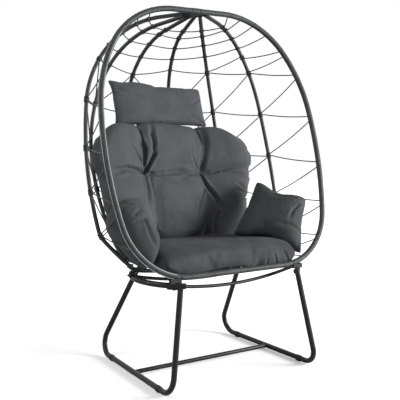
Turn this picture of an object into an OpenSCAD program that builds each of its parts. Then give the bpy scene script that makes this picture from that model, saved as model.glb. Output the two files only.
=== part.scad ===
// Free-standing egg chair. A hoop of wrapped tube leans back over the stand, six wrapped ribs
// run from the hoop's crown down the back and under the seat, and cord is laced across them.
// The shell sits on the arcs of two side frames. Under each arc are a front leg, a sled tube and
// a rear leg. Ties below the shell and a cross bar at the floor join the two side frames.
// Millimetres. X runs across the chair and x = 0 is its mirror plane. The open side faces -Y.
// The origin is on the floor, in the middle of the chair's width and depth.

/* [Stand] */
// Outer diameter of the leg, sled and side arc tubes
stand_tube_d = 22; // [18:1:28]
// Wall of the stand tubes
stand_wall = 1.5; // [1:0.1:2.5]
// Height of the side arcs' centre line above the floor
arc_z = 410; // [340:5:500]
// Radius of the side arcs' centre line
arc_r = 237; // [222:1:252]
// Distance of each side arc's centre from the mirror plane
arc_x = 128; // [114:1:142]
// Distance of the side arcs' centres in front of the cross bar
arc_forward = 92; // [80:1:104]
// Angle on a side arc from its outermost point to the front leg
front_leg_angle = 50; // [47:0.5:53]
// Angle on a side arc from its outermost point to the rear leg
rear_leg_angle = 54; // [50:0.5:57]
// Half width of the stand at the front bends
foot_half_w_front = 348; // [300:2:400]
// Half width of the stand at the rear bends
foot_half_w_rear = 328; // [290:2:390]
// Distance from the cross bar to the corner where a front leg and its sled would meet
front_reach = 326; // [280:2:380]
// Distance from the cross bar to the corner where a rear leg and its sled would meet
rear_reach = 360; // [300:2:420]
// Centre line radius of the front bends
front_bend_r = 62; // [45:1:80]
// Centre line radius of the rear bends
rear_bend_r = 58; // [40:1:75]
// Length of sled tube between a bend and the end of the leg piece
leg_tail = 38; // [25:1:60]

/* [Stand fittings] */
// Length of the collar that covers each joint of leg and sled
collar_len = 24; // [16:1:36]
// Wall of the collars, which also lift the tubes off the floor
collar_wall = 1.5; // [1:0.1:3]
// Outer diameter of the cross bar
cross_bar_d = 18; // [12:1:22]
// Diameter of the two round bars that tie the side arcs together under the seat
tie_d = 14; // [10:1:17]
// Distance of each tie from the line of the side arcs' centres
tie_spread = 86; // [74:1:98]
// Drop of the ties' middles below the side arcs
tie_dip = 42; // [30:1:54]
// Angle by which each side arc runs on past its front leg
front_overrun = 4; // [3.5:0.5:6]
// Angle by which each side arc runs on past its rear leg
rear_overrun = 12; // [10:0.5:15]
// Length of the plugs in the side arcs' open ends
cap_len = 24; // [14:1:30]
// Thickness of the bracket plates under the side arcs
bracket_t = 3; // [2:0.5:5]
// Length of the bracket plates
bracket_len = 50; // [40:2:60]
// Width of the bracket plates
bracket_w = 16; // [12:1:20]
// Shank diameter of the bolts that hold the hoop down
bolt_d = 6; // [5:0.5:8]
// Shank diameter of the small screws
screw_d = 4; // [3:0.5:5]

/* [Hoop] */
// Outer diameter of the hoop's steel tube
hoop_tube_d = 19; // [15:1:22]
// Wall of the hoop's steel tube
hoop_wall = 1.4; // [1:0.1:2.5]
// Thickness of the flat strand wound round the hoop
hoop_wrap_t = 1.6; // [1:0.1:2.5]
// Height of the hoop from crown to foot, along its own plane
hoop_h = 1082; // [1040:2:1140]
// Lean of the hoop's plane to the rear
hoop_tilt = 15.7; // [12:0.1:20]
// Distance of the hoop's foot in front of the cross bar
hoop_forward = 256; // [236:2:276]
// Half length of the flat stretch at the crown
hoop_flat = 120; // [100:2:150]
// Radius of the hoop's shoulders
hoop_shoulder_r = 350; // [330:2:370]
// Turn of the hoop's shoulders
hoop_shoulder_turn = 58; // [55:0.5:61]
// Radius of the hoop's upper sides
hoop_upper_r = 585; // [565:2:605]
// Turn of the hoop's upper sides
hoop_upper_turn = 26; // [24:0.5:28]
// Radius of the hoop's long lower sides
hoop_side_r = 1545; // [1500:5:1590]
// Turn of the hoop's long lower sides
hoop_side_turn = 17; // [15.5:0.5:18.5]
// Length of the sleeve that joins the hoop's halves at the crown and at the foot
spigot_len = 70; // [50:2:100]
// Distance from the hoop's foot to the seam where the foot's own wraps start
foot_wrap_len = 270; // [240:2:280]
// Gap between neighbouring wraps
wrap_seam = 2; // [1:0.5:4]
// Thickness of the pads between the hoop and the side arcs
pad_t = 4; // [2:0.5:8]
// Length of those pads
pad_len = 46; // [36:1:50]

/* [Ribs] */
// Outer diameter of a rib's steel tube
rib_tube_d = 12; // [10:0.5:14]
// Wall of a rib's steel tube
rib_wall = 1.2; // [0.8:0.1:2]
// Thickness of the strand wound round a rib
rib_wrap_t = 2.3; // [1:0.1:3]
// Angle about the hoop's axis between the hoop and the outer ribs
outer_rib_angle = 31; // [28:1:34]
// Angle about the hoop's axis between the hoop and the middle ribs
middle_rib_angle = 56; // [53:1:59]
// Angle about the hoop's axis between the hoop and the rear ribs
rear_rib_angle = 78.3; // [76:0.1:81]
// Distance from the hoop's axis to the start of a rib's tube
hub_inner = 46; // [42:1:52]
// Distance from the hoop's axis to the mouth of each hub socket
hub_reach = 72; // [66:1:84]
// Wall of the hub sockets
hub_wall = 2.4; // [1.8:0.1:3]
// Thickness of the hub plates
hub_plate_t = 5; // [4:0.5:8]

/* [Lacing] */
// Diameter of the lacing cord
cord_d = 4; // [3:0.5:5]
// Distance along the hoop between the two cords of a pair on its left side
pair_gap_left = 42; // [36:1:48]
// Distance along the hoop between the two cords of a pair on its right side
pair_gap_right = 25; // [20:1:30]

/* [Cushions] */
// Half width of the seat cushion at the front
seat_half_w = 318; // [290:2:326]
// Half width of the seat cushion at the rear
seat_half_w_rear = 205; // [170:2:220]
// Depth of the seat cushion from front to rear
seat_d = 470; // [430:2:480]
// Thickness of the seat cushion at its crown
seat_t = 84; // [60:1:100]
// Half width of the back cushion at the top
back_half_w_top = 408; // [360:2:412]
// Half width of the back cushion at the bottom
back_half_w_bottom = 330; // [290:2:340]
// Height of the back cushion along its lean
back_h = 512; // [460:2:530]
// Thickness of the back cushion in the middle of a lobe
back_t = 168; // [130:2:174]
// Diameter of the tuft buttons
tuft_d = 8; // [6:1:12]
// Width of the headrest pillow
head_w = 470; // [420:2:500]
// Height of the headrest pillow
head_h = 196; // [170:2:210]
// Thickness of the headrest pillow
head_t = 92; // [70:1:100]
// Thickness of the arm pillows
arm_t = 118; // [90:1:124]

/* [Hidden] */
$fn = 48;
// Sides of a full turn along a bend, so that long bends stay smooth
bend_fn = 360;

// Running clearance of sleeves, sockets and wraps
fit_gap = 0.3;
// Clearance round the soft pieces
soft_gap = 1;

steel_black = [0.10, 0.10, 0.11];
wicker_grey = [0.30, 0.31, 0.32];
cord_grey = [0.36, 0.37, 0.38];
fabric_grey = [0.29, 0.30, 0.31];
plastic_black = [0.07, 0.07, 0.08];
bolt_black = [0.13, 0.13, 0.14];

// Heights and places that follow from the sizes above
glide_proud = 0.5;
tube_z = stand_tube_d / 2 + collar_wall + glide_proud;
hoop_d = hoop_tube_d + 2 * hoop_wrap_t;
rib_d = rib_tube_d + 2 * rib_wrap_t;
hoop_foot_z = arc_z + stand_tube_d / 2 + pad_t + hoop_d / 2;
crown_z = hoop_foot_z + hoop_h * cos(hoop_tilt);
crown_y = -hoop_forward + hoop_h * sin(hoop_tilt);

// The sizes are taken about the cross bar, and the middle of the chair's depth lies behind it
cross_bar_y = -93;
module placed() {
    translate([0, cross_bar_y, 0]) children();
}

// Vector helpers
function unit(v) = v / norm(v);
function side_of(d) = unit(cross(d, abs(d[2]) < 0.9 ? [0, 0, 1] : [1, 0, 0]));
function mirror_x(p) = [-p[0], p[1], p[2]];
function mix(a, b, t) = a + (b - a) * t;

// Lays children so that their x axis runs along u and their y axis along v
module oriented(origin, u, v) {
    w = cross(u, v);
    multmatrix([
        [u[0], v[0], w[0], origin[0]],
        [u[1], v[1], w[1], origin[1]],
        [u[2], v[2], w[2], origin[2]],
        [0, 0, 0, 1]
    ]) children();
}

// Lays children that rise from z = 0 so that they run from a towards b
module along(a, b) {
    d = unit(b - a);
    s = side_of(d);
    oriented(a, s, cross(d, s)) children();
}

module rod(a, b, d) {
    along(a, b) cylinder(h = norm(b - a), d = d);
}

module tube_section(d, wall) {
    difference() {
        circle(d = d, $fn = 48);
        if (wall > 0) circle(d = d - 2 * wall, $fn = 48);
    }
}

module straight_tube(a, b, d, wall) {
    along(a, b) linear_extrude(height = norm(b - a)) tube_section(d, wall);
}

// The runs of a bent tube stop just short of each other inside a hair-thin weld ring
weld_gap = 0.1;
weld_half = 0.4;
weld_proud = 0.04;
module weld_ring(at, d, wall, dir) {
    along(at - weld_half * dir, at + weld_half * dir) linear_extrude(height = 2 * weld_half)
        tube_section(d + 2 * weld_proud, wall > 0 ? wall + 2 * weld_proud : 0);
}

// A tube with one bend of centre line radius r at the corner
module bent_tube(a, corner, b, r, d, wall) {
    u = unit(corner - a);
    w = unit(b - corner);
    turn = acos(u * w);
    cut = r * tan(turn / 2);
    inward = unit(w - (w * u) * u);
    slit = weld_gap / r * 180 / PI;
    straight_tube(a, corner - (cut + weld_gap) * u, d, wall);
    oriented(corner - cut * u + r * inward, -inward, u)
        rotate([0, 0, slit]) rotate_extrude(angle = turn - 2 * slit, $fn = bend_fn)
            translate([r, 0]) tube_section(d, wall);
    straight_tube(corner + (cut + weld_gap) * w, b, d, wall);
    weld_ring(corner - cut * u, d, wall, u);
    weld_ring(corner + cut * w, d, wall, w);
}

// A flat path in a plane through the hoop's axis is a list of runs [r, z, heading, radius, size].
// Heading 0 points away from the axis and -90 points down. A bend's size is its turn in degrees,
// and a straight run has radius 0 and its length as its size.
function run_len(s) = s[3] == 0 ? s[4] : s[3] * s[4] * PI / 180;
function run_at(s, t) = s[3] == 0
    ? [s[0] + t * cos(s[2]), s[1] + t * sin(s[2]), s[2]]
    : let (g = s[2] - t / s[3] * 180 / PI)
      [s[0] + s[3] * (sin(s[2]) - sin(g)), s[1] - s[3] * (cos(s[2]) - cos(g)), g];
function run_part(s, a, b) = concat(run_at(s, a), [s[3], s[3] == 0 ? b - a : (b - a) / s[3] * 180 / PI]);
function path_len(p, i = 0) = i == len(p) ? 0 : run_len(p[i]) + path_len(p, i + 1);
function path_at(p, t, i = 0) = t <= run_len(p[i]) || i == len(p) - 1
    ? run_at(p[i], t)
    : path_at(p, t - run_len(p[i]), i + 1);
function path_part(p, a, b, i = 0) = i == len(p) ? [] : let (l = run_len(p[i])) concat(
    a < l && b > 0 ? [run_part(p[i], max(a, 0), min(b, l))] : [],
    path_part(p, a - l, b - l, i + 1));
function bend_runs(start, bends, i = 0) = i == len(bends)
    ? [start]
    : let (s = concat(start, bends[i])) concat([s], bend_runs(run_at(s, run_len(s)), bends, i + 1));

// From the axis out along a flat stretch, round the bends, and back to the axis at end_z. The
// last bend's radius and the last straight run's length are what closes the path.
function closed_path(flat, top_z, bends, slope, end_z) = let (
    chain = bend_runs([flat, top_z, 0], bends),
    last = chain[len(chain) - 1],
    e = slope - 180,
    dr = sin(last[2]) - sin(e),
    dz = cos(e) - cos(last[2]),
    det = dr * sin(e) - dz * cos(e),
    drop = end_z - last[1],
    radius = (-last[0] * sin(e) - drop * cos(e)) / det,
    straight = (dr * drop + last[0] * dz) / det,
    bend = concat(last, [radius, last[2] - e]),
    foot = run_at(bend, run_len(bend))
) concat([[0, top_z, 0, 0, flat]], [for (i = [0:len(chain) - 2]) chain[i]], [bend],
    [[foot[0], foot[1], e, 0, straight]]);

// The ribs' lower runs lie level, so their slope to the hoop's axis follows from its lean
function level_slope(angle) = atan(tan(hoop_tilt) * sin(angle));

hoop_path = closed_path(hoop_flat, 0, [
    [hoop_shoulder_r, hoop_shoulder_turn],
    [hoop_upper_r, hoop_upper_turn],
    [hoop_side_r, hoop_side_turn]
], 0, -hoop_h);
// Each rib is bent round its shoulder, its back and its long side, then turned in under the seat
outer_rib_path = closed_path(165, 0,
    [[325, 41], [405, 38], [1715, 18], [105, 28], [1365, 6]], level_slope(outer_rib_angle), -hoop_h);
middle_rib_path = closed_path(190, 2,
    [[375, 58], [645, 32], [1125, 19], [185, 26]], level_slope(middle_rib_angle), -hoop_h);
rear_rib_path = closed_path(215, 4,
    [[355, 63], [710, 29], [1160, 18], [50, 11]], level_slope(rear_rib_angle), -hoop_h);

// The eight supports that the cord crosses, from the left side of the hoop to its right side
support_angle = [180, 180 - outer_rib_angle, 180 - middle_rib_angle, 180 - rear_rib_angle,
    rear_rib_angle, middle_rib_angle, outer_rib_angle, 0];
support_path = [hoop_path, outer_rib_path, middle_rib_path, rear_rib_path,
    rear_rib_path, middle_rib_path, outer_rib_path, hoop_path];
support_d = [hoop_d, rib_d, rib_d, rib_d, rib_d, rib_d, rib_d, hoop_d];

// Point and direction on a support at distance t along it from the crown
function on_support(k, t) = let (p = path_at(support_path[k], t), a = support_angle[k])
    [p[0] * cos(a), p[0] * sin(a), p[1]];
function support_dir(k, t) = let (p = path_at(support_path[k], t), a = support_angle[k])
    [cos(p[2]) * cos(a), cos(p[2]) * sin(a), sin(p[2])];

// The basket is drawn upright about the hoop's axis, and leans back as one
module basket_frame() {
    translate([0, crown_y, crown_z]) rotate([-hoop_tilt, 0, 0]) children();
}

module path_tube(path, d, wall) {
    last = len(path) - 1;
    for (i = [0:last]) {
        whole = path[i];
        s = run_part(whole, i == 0 ? 0 : weld_gap, run_len(whole) - (i == last ? 0 : weld_gap));
        if (s[3] == 0) straight_tube([s[0], 0, s[1]],
            [s[0] + s[4] * cos(s[2]), 0, s[1] + s[4] * sin(s[2])], d, wall);
        else oriented([s[0] + s[3] * sin(s[2]), 0, s[1] - s[3] * cos(s[2])],
            [-sin(s[2]), 0, cos(s[2])], [cos(s[2]), 0, sin(s[2])])
            rotate_extrude(angle = s[4], $fn = bend_fn) translate([s[3], 0]) tube_section(d, wall);
        if (i > 0) weld_ring([whole[0], 0, whole[1]], d, wall, [cos(whole[2]), 0, sin(whole[2])]);
    }
}

// Arcs and legs. side is 1 on the right and -1 on the left, angles run from the side to the front
function on_arc(side, angle) =
    [side * (arc_x + arc_r * cos(angle)), -arc_forward - arc_r * sin(angle), arc_z];
function leg_top(side, front) = on_arc(side, front ? front_leg_angle : -rear_leg_angle);
function foot_corner(side, front) = front
    ? [side * foot_half_w_front, -front_reach, tube_z]
    : [side * foot_half_w_rear, rear_reach, tube_z];
function bend_r(front) = front ? front_bend_r : rear_bend_r;
function bend_cut(side, front) = let (
    u = unit(foot_corner(side, front) - leg_top(side, front)),
    w = unit(foot_corner(side, !front) - foot_corner(side, front))
) bend_r(front) * tan(acos(u * w) / 2);
function sled_joint(side, front) = foot_corner(side, front)
    + (bend_cut(side, front) + leg_tail) * unit(foot_corner(side, !front) - foot_corner(side, front));
function sled_mid(side) = mix(foot_corner(side, true), foot_corner(side, false),
    front_reach / (front_reach + rear_reach));

socket_len = 30;
cope = 4;
swage_d = stand_tube_d - 2 * stand_wall - fit_gap;

// A leg is coped to the side arc at its top, and ends in a drawn-down tail that enters the sled
module leg(side, front) {
    joint = sled_joint(side, front);
    inward = unit(foot_corner(side, !front) - foot_corner(side, front));
    color(steel_black) difference() {
        union() {
            bent_tube(leg_top(side, front) + cope * unit(foot_corner(side, front) - leg_top(side, front)),
                foot_corner(side, front), joint,
                bend_r(front), stand_tube_d, stand_wall);
            straight_tube(joint - 2 * inward, joint + socket_len * inward, swage_d, stand_wall);
            straight_tube(joint - 3 * inward, joint - 1 * inward, stand_tube_d - 1, stand_wall + 1);
        }
        arc_sweep(side, arc_from - 4, arc_to + 4, stand_tube_d + fit_gap, 0);
    }
}

module sled_tube(side) {
    a = sled_joint(side, true);
    b = sled_joint(side, false);
    u = unit(b - a);
    color(steel_black) difference() {
        straight_tube(a + fit_gap * u, b - fit_gap * u, stand_tube_d, stand_wall);
        rod(sled_mid(side) - [stand_tube_d, 0, 0], sled_mid(side) + [stand_tube_d, 0, 0], screw_d);
    }
}

// Each collar has a flat glide moulded under it, on which the chair stands
module sled_collars() {
    glide_w = 12;
    color(plastic_black) for (side = [-1, 1], front = [true, false]) {
        joint = sled_joint(side, front);
        u = unit(foot_corner(side, !front) - foot_corner(side, front));
        bore = stand_tube_d + fit_gap;
        difference() {
            union() {
                rod(joint - collar_len / 2 * u, joint + collar_len / 2 * u, stand_tube_d + 2 * collar_wall);
                oriented(joint, u, cross([0, 0, 1], u)) translate([-collar_len / 2, -glide_w / 2, -tube_z])
                    cube([collar_len, glide_w, tube_z - stand_tube_d / 4]);
            }
            rod(joint - collar_len * u, joint + collar_len * u, bore);
        }
    }
}

// The cross bar butts against the sleds and has a threaded plug at each end
module cross_bar() {
    a = sled_mid(-1) + [stand_tube_d / 2, 0, 0];
    b = sled_mid(1) - [stand_tube_d / 2, 0, 0];
    color(steel_black) difference() {
        rod(a, b, cross_bar_d);
        for (side = [-1, 1])
            rod(sled_mid(side) - [side * (stand_tube_d / 2 + socket_len), 0, 0], sled_mid(side), screw_d);
        for (side = [-1, 1]) rod(foot_corner(side, true), foot_corner(side, false), stand_tube_d + fit_gap);
    }
}

module side_screw(face, inward, len) {
    head_h = 2.5;
    rod(face + 0.5 * inward, face + len * inward, screw_d - fit_gap);
    rod(face - head_h * inward, face + 0.5 * inward, 2 * screw_d);
}

module cross_bar_screws() {
    color(bolt_black) for (side = [-1, 1])
        side_screw(sled_mid(side) + [side * (stand_tube_d / 2 + 0.5), 0, 0], [-side, 0, 0],
            stand_tube_d + socket_len - 4);
}

// Side arcs are stout tube, open at both ends
arc_from = -(rear_leg_angle + rear_overrun);
arc_to = front_leg_angle + front_overrun;
// The hoop's foot crosses the arcs here, and is bolted down
bolt_angle = asin((hoop_forward - arc_forward) / arc_r);

module arc_sweep(side, from, to, d, wall) {
    translate([side * arc_x, -arc_forward, arc_z]) rotate([0, 0, side > 0 ? -to : 180 + from])
        rotate_extrude(angle = to - from, $fn = bend_fn) translate([arc_r, 0]) tube_section(d, wall);
}

// Height that the bolts reach, inside the hoop's tube
bolt_top_z = hoop_foot_z + 8;

module bolt_hole(side) {
    translate(on_arc(side, bolt_angle) - [0, 0, stand_tube_d])
        cylinder(h = bolt_top_z + 1 - arc_z + stand_tube_d, d = bolt_d + fit_gap);
}

module side_arc(side) {
    color(steel_black) difference() {
        arc_sweep(side, arc_from, arc_to, stand_tube_d, stand_wall);
        bolt_hole(side);
        for (front = [true, false]) {
            p = tie_end(side, front);
            rod(p - stand_tube_d * tie_dir(side), p + stand_tube_d * tie_dir(side), screw_d);
        }
    }
}

// The ties bow down between the arcs, clear of the shell, and butt against the arcs' inner sides
tie_half_w = arc_x + sqrt(arc_r * arc_r - tie_spread * tie_spread);
tie_r = (tie_half_w * tie_half_w + tie_dip * tie_dip) / (2 * tie_dip);
tie_half_turn = asin(tie_half_w / tie_r);
function tie_y(front) = -arc_forward + (front ? -1 : 1) * tie_spread;
function tie_end(side, front) = [side * tie_half_w, tie_y(front), arc_z];
function tie_dir(side) = [side * cos(tie_half_turn), 0, sin(tie_half_turn)];

module tie(front) {
    color(steel_black) difference() {
        translate([0, tie_y(front), arc_z - tie_dip + tie_r]) rotate([90, 0, 0])
            rotate([0, 0, -90 - tie_half_turn]) rotate_extrude(angle = 2 * tie_half_turn, $fn = bend_fn)
                translate([tie_r, 0]) circle(d = tie_d);
        for (side = [-1, 1]) {
            p = tie_end(side, front);
            arc_sweep(side, arc_from, arc_to, stand_tube_d + fit_gap, 0);
            rod(p, p - (stand_tube_d / 2 + socket_len) * tie_dir(side), screw_d);
        }
    }
}

// The tie meets the arc aslant, so the flat head stands off by what the tube rises under its edge
module tie_screws() {
    slant = asin(tie_spread / arc_r);
    seat = stand_tube_d / 2 / cos(slant) + screw_d * tan(slant) + fit_gap;
    color(bolt_black) for (side = [-1, 1], front = [true, false])
        side_screw(tie_end(side, front) + (seat + 0.5) * tie_dir(side), -tie_dir(side),
            stand_tube_d + socket_len - 4);
}

// Moulded plugs close the arcs' ends, with a rim that covers the tube's edge
module arc_end_caps() {
    rim_angle = 0.8;
    plug_angle = cap_len / arc_r * 180 / PI;
    color(plastic_black) for (side = [-1, 1], end = [arc_from, arc_to]) {
        out = end > 0 ? 1 : -1;
        inner = end - out * plug_angle;
        outer = end + out * rim_angle;
        arc_sweep(side, min(inner, mix(end, outer, 0.5)), max(inner, mix(end, outer, 0.5)),
            stand_tube_d - 2 * stand_wall - fit_gap, 0);
        arc_sweep(side, min(end, outer), max(end, outer), stand_tube_d + 1.6, 0);
    }
}

// A plate under each arc spreads the load of the bolt that holds the hoop down
module hoop_brackets() {
    half = bracket_len / arc_r * 90 / PI;
    color(steel_black) for (side = [-1, 1]) difference() {
        translate([side * arc_x, -arc_forward, arc_z])
            rotate([0, 0, side > 0 ? -bolt_angle - half : 180 + bolt_angle - half])
                rotate_extrude(angle = 2 * half, $fn = bend_fn)
                    translate([arc_r - bracket_w / 2, -stand_tube_d / 2 - bracket_t])
                        square([bracket_w, bracket_t + 4]);
        arc_sweep(side, bolt_angle - half - 3, bolt_angle + half + 3, stand_tube_d + fit_gap, 0);
        bolt_hole(side);
        rod(leg_top(side, true), foot_corner(side, true), stand_tube_d + fit_gap);
    }
}

// Hexagon socket bolts go up through the plates, the arcs and the pads into the hoop's tube
module hoop_bolts() {
    under = stand_tube_d / 2 + bracket_t;
    color(bolt_black) for (side = [-1, 1]) translate(on_arc(side, bolt_angle)) {
        translate([0, 0, -under - 0.5 * bolt_d]) difference() {
            cylinder(h = 0.5 * bolt_d, d = 1.8 * bolt_d);
            translate([0, 0, -1]) cylinder(h = 0.25 * bolt_d + 1, d = bolt_d * 0.7, $fn = 6);
        }
        translate([0, 0, -under]) cylinder(h = under + bolt_top_z - arc_z, d = bolt_d);
    }
}

// The hoop's two halves meet at the crown and at the foot on inner sleeves
hoop_len = path_len(hoop_path);
foot_wrap_start = hoop_len - foot_wrap_len;
function hoop_turn(side) = side > 0 ? 0 : 180;
function screw_place(top) = top ? spigot_len * 0.32 : hoop_len - spigot_len * 0.32;

module hoop_tube(side) {
    color(steel_black) difference() {
        basket_frame() rotate([0, 0, hoop_turn(side)])
            path_tube(path_part(hoop_path, 0.2, hoop_len - 0.2), hoop_tube_d, hoop_wall);
        basket_frame() for (top = [true, false]) screw_hole(side, top);
        bolt_hole(side);
    }
}

module screw_hole(side, top) {
    p = path_at(hoop_path, screw_place(top));
    translate([side * p[0], 0, p[1]]) rotate([90, 0, 0]) cylinder(h = 2 * hoop_d, d = screw_d, center = true);
}

module spigot(top) {
    p = path_at(hoop_path, top ? 0 : hoop_len);
    color(steel_black) basket_frame() difference() {
        translate([0, 0, p[1]]) rotate([0, 90, 0]) linear_extrude(height = spigot_len, center = true)
            tube_section(hoop_tube_d - 2 * hoop_wall - fit_gap, hoop_wall);
        for (side = [-1, 1]) screw_hole(side, top);
    }
}

// Countersunk screws that hold the halves to the sleeves and to the hubs behind them
module hoop_screws() {
    color(bolt_black) basket_frame() for (side = [-1, 1], top = [true, false]) {
        p = path_at(hoop_path, screw_place(top));
        translate([side * p[0], -hoop_tube_d / 2 - 0.1, p[1]]) rotate([-90, 0, 0]) {
            cylinder(h = hoop_tube_d + 8, d = screw_d - fit_gap);
            translate([0, 0, -1]) cylinder(h = 1, d = 1.8 * screw_d);
        }
    }
}

module hoop_wrap(side, from, to) {
    color(wicker_grey) difference() {
        basket_frame() rotate([0, 0, hoop_turn(side)])
            path_tube(path_part(hoop_path, from, to), hoop_d, hoop_wrap_t - fit_gap / 2);
        basket_frame() for (top = [true, false]) screw_recess(side, top);
        bolt_hole(side);
    }
}

module side_wrap(side) {
    hoop_wrap(side, wrap_seam / 2, foot_wrap_start - wrap_seam / 2);
}

module foot_wrap(side) {
    hoop_wrap(side, foot_wrap_start + wrap_seam / 2, hoop_len - wrap_seam / 2);
}

// Room in the wrap for a screw's head in front and for the hub's boss behind
module screw_recess(side, top) {
    p = path_at(hoop_path, screw_place(top));
    translate([side * p[0], 0, p[1]]) rotate([90, 0, 0])
        cylinder(h = 2 * hoop_d, d = 2.2 * screw_d, center = true);
}

// Pads seat the hoop on the side arcs, round the bolts
module hoop_pads() {
    pad_w = 18;
    color(plastic_black) for (side = [-1, 1]) {
        middle = on_arc(side, bolt_angle)[0] - side * 6;
        difference() {
            translate([middle - pad_len / 2, -hoop_forward - pad_w / 2, arc_z + stand_tube_d / 2 - 3])
                cube([pad_len, pad_w, pad_t + 14]);
            basket_frame() rotate([0, 0, hoop_turn(side)])
                path_tube(path_part(hoop_path, hoop_len * 0.6, hoop_len), hoop_d + fit_gap, 0);
            arc_sweep(side, 0, arc_to, stand_tube_d + fit_gap, 0);
            arc_sweep(side, arc_to - 2, arc_to + 8, stand_tube_d + 2.2, 0);
            bolt_hole(side);
        }
    }
}

// Six sockets on a half-round plate behind the hoop, at the crown and again under the seat
module hub(top) {
    p_z = top ? 0 : -hoop_h;
    boss_y = hoop_tube_d / 2 + fit_gap;
    boss_len = 12;
    color(steel_black) basket_frame() difference() {
        union() {
            for (k = [1:6]) hub_rod(k, top, hub_inner - 1, hub_reach, rib_tube_d + 2 * hub_wall);
            translate([0, 0, p_z]) rotate([top ? 0 : hoop_tilt, 0, 0])
                translate([0, 0, -hub_plate_t / 2]) intersection() {
                    cylinder(h = hub_plate_t, r = hub_inner + 8);
                    translate([-100, boss_y, -1]) cube([200, 100, hub_plate_t + 2]);
                }
            for (side = [-1, 1]) translate([side * spigot_len * 0.32, boss_y, p_z])
                rotate([-90, 0, 0]) cylinder(h = boss_len, d = 2 * screw_d);
        }
        for (k = [1:6]) hub_rod(k, top, hub_inner - fit_gap, hub_reach + 5, rib_tube_d + fit_gap);
        for (side = [-1, 1]) translate([side * spigot_len * 0.32, 0, p_z])
            rotate([-90, 0, 0]) cylinder(h = boss_y + boss_len + 1, d = screw_d);
        translate([0, 0, p_z]) rotate([0, 90, 0]) cylinder(h = 300, d = hoop_d + 2 * fit_gap, center = true);
    }
}

// A rod along a rib's end, between two distances from the hoop's axis
module hub_rod(k, top, from, to, d) {
    len = path_len(support_path[k]);
    rod(on_support(k, top ? from : len - from), on_support(k, top ? to : len - to), d);
}

module rib(k) {
    len = path_len(support_path[k]);
    color(steel_black) basket_frame() rotate([0, 0, support_angle[k]])
        path_tube(path_part(support_path[k], hub_inner, len - hub_inner), rib_tube_d, rib_wall);
}

module rib_wrap(k) {
    len = path_len(support_path[k]);
    color(wicker_grey) basket_frame() rotate([0, 0, support_angle[k]])
        path_tube(path_part(support_path[k], hub_reach + 1, len - hub_reach - 1), rib_d,
            rib_wrap_t - fit_gap / 2);
}

// Where a rib's level run crosses a side arc: its distance from the hoop's foot in plan
function rib_run(k) = let (a = support_angle[k]) unit([abs(cos(a)), sin(a) / cos(hoop_tilt)]);
function crossing(k) = let (
    d = rib_run(k),
    c = hoop_forward - arc_forward,
    b = d[0] * arc_x + d[1] * c
) b + sqrt(b * b - arc_x * arc_x - c * c + arc_r * arc_r);

// Saddles that carry the outer and the middle ribs on the side arcs
module rib_clips() {
    clip_len = 24;
    color(plastic_black) for (k = [1, 2, 5, 6]) {
        side = k > 4 ? 1 : -1;
        d = rib_run(k);
        difference() {
            translate([side * crossing(k) * d[0], -hoop_forward + crossing(k) * d[1], arc_z])
                rotate([0, 0, side * atan2(d[1], d[0])])
                    translate([-clip_len / 2, -rib_d / 2 - 2, 0])
                        cube([clip_len, rib_d + 4, hoop_foot_z - arc_z - 3]);
            arc_sweep(side, -90, 0, stand_tube_d + fit_gap, 0);
            basket_frame() rotate([0, 0, support_angle[k]])
                path_tube(path_part(support_path[k], path_len(support_path[k]) * 0.5,
                    path_len(support_path[k])), rib_d + fit_gap, 0);
        }
    }
}

// Where each row of cord crosses the eight supports, as distances along them from the crown
crown_rows = [
    [228, 214, 220, 216, 216, 218, 220, 151],
    [290, 268, 273, 262, 280, 268, 248, 215],
    [350, 336, 341, 339, 352, 335, 315, 281],
    [418, 412, 413, 416, 417, 405, 376, 354]
];
upper_rows = [
    [568, 480, 482, 506, 477, 495, 512, 569],
    [744, 664, 672, 690, 680, 692, 715, 767],
    [921, 866, 872, 884, 880, 890, 913, 975]
];
lower_rows = [
    [1111, 1048, 1056, 1070, 1068, 1078, 1100, 1151],
    [1298, 1231, 1238, 1250, 1250, 1256, 1275, 1309],
    [1426, 1402, 1400, 1400, 1400, 1402, 1410, 1439]
];
seat_rows = [
    [1560, 1545, 1560, 1570, 1570, 1560, 1545, 1560],
    [1665, 1665, 1710, 1720, 1720, 1710, 1665, 1665]
];
// Extra ties at the right shoulder, as [support, distance, next support, distance]
shoulder_ties = [[5, 487, 6, 424], [6, 434, 7, 449], [6, 504, 7, 477]];

function loop_r(k) = (support_d[k] + cord_d) / 2 + fit_gap;

// One turn of cord round a support
module lashing(k, t) {
    p = on_support(k, t);
    along(p, p + support_dir(k, t)) rotate_extrude() translate([loop_r(k), 0]) circle(d = cord_d, $fn = 24);
}

// The point on a turn of cord that faces another point
function leave_loop(k, t, toward) = let (
    p = on_support(k, t),
    d = support_dir(k, t),
    u = toward - p
) p + loop_r(k) * unit(u - (u * d) * d);

// A stretch of cord from the turn on one support to the turn on the next
module stretch(k, t, m, s) {
    rod(leave_loop(k, t, on_support(m, s)), leave_loop(m, s, on_support(k, t)), cord_d - 0.2);
}

module row_lacing(rows) {
    color(cord_grey) basket_frame() for (row = rows) {
        for (k = [0:7]) lashing(k, row[k]);
        for (k = [0:6]) stretch(k, row[k], k + 1, row[k + 1]);
    }
}

all_rows = concat(upper_rows, lower_rows);
// Distance along a rib between a row's turn and a diagonal's turn, and between two diagonals'
tie_rise = 8;
tie_step = 5;

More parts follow.
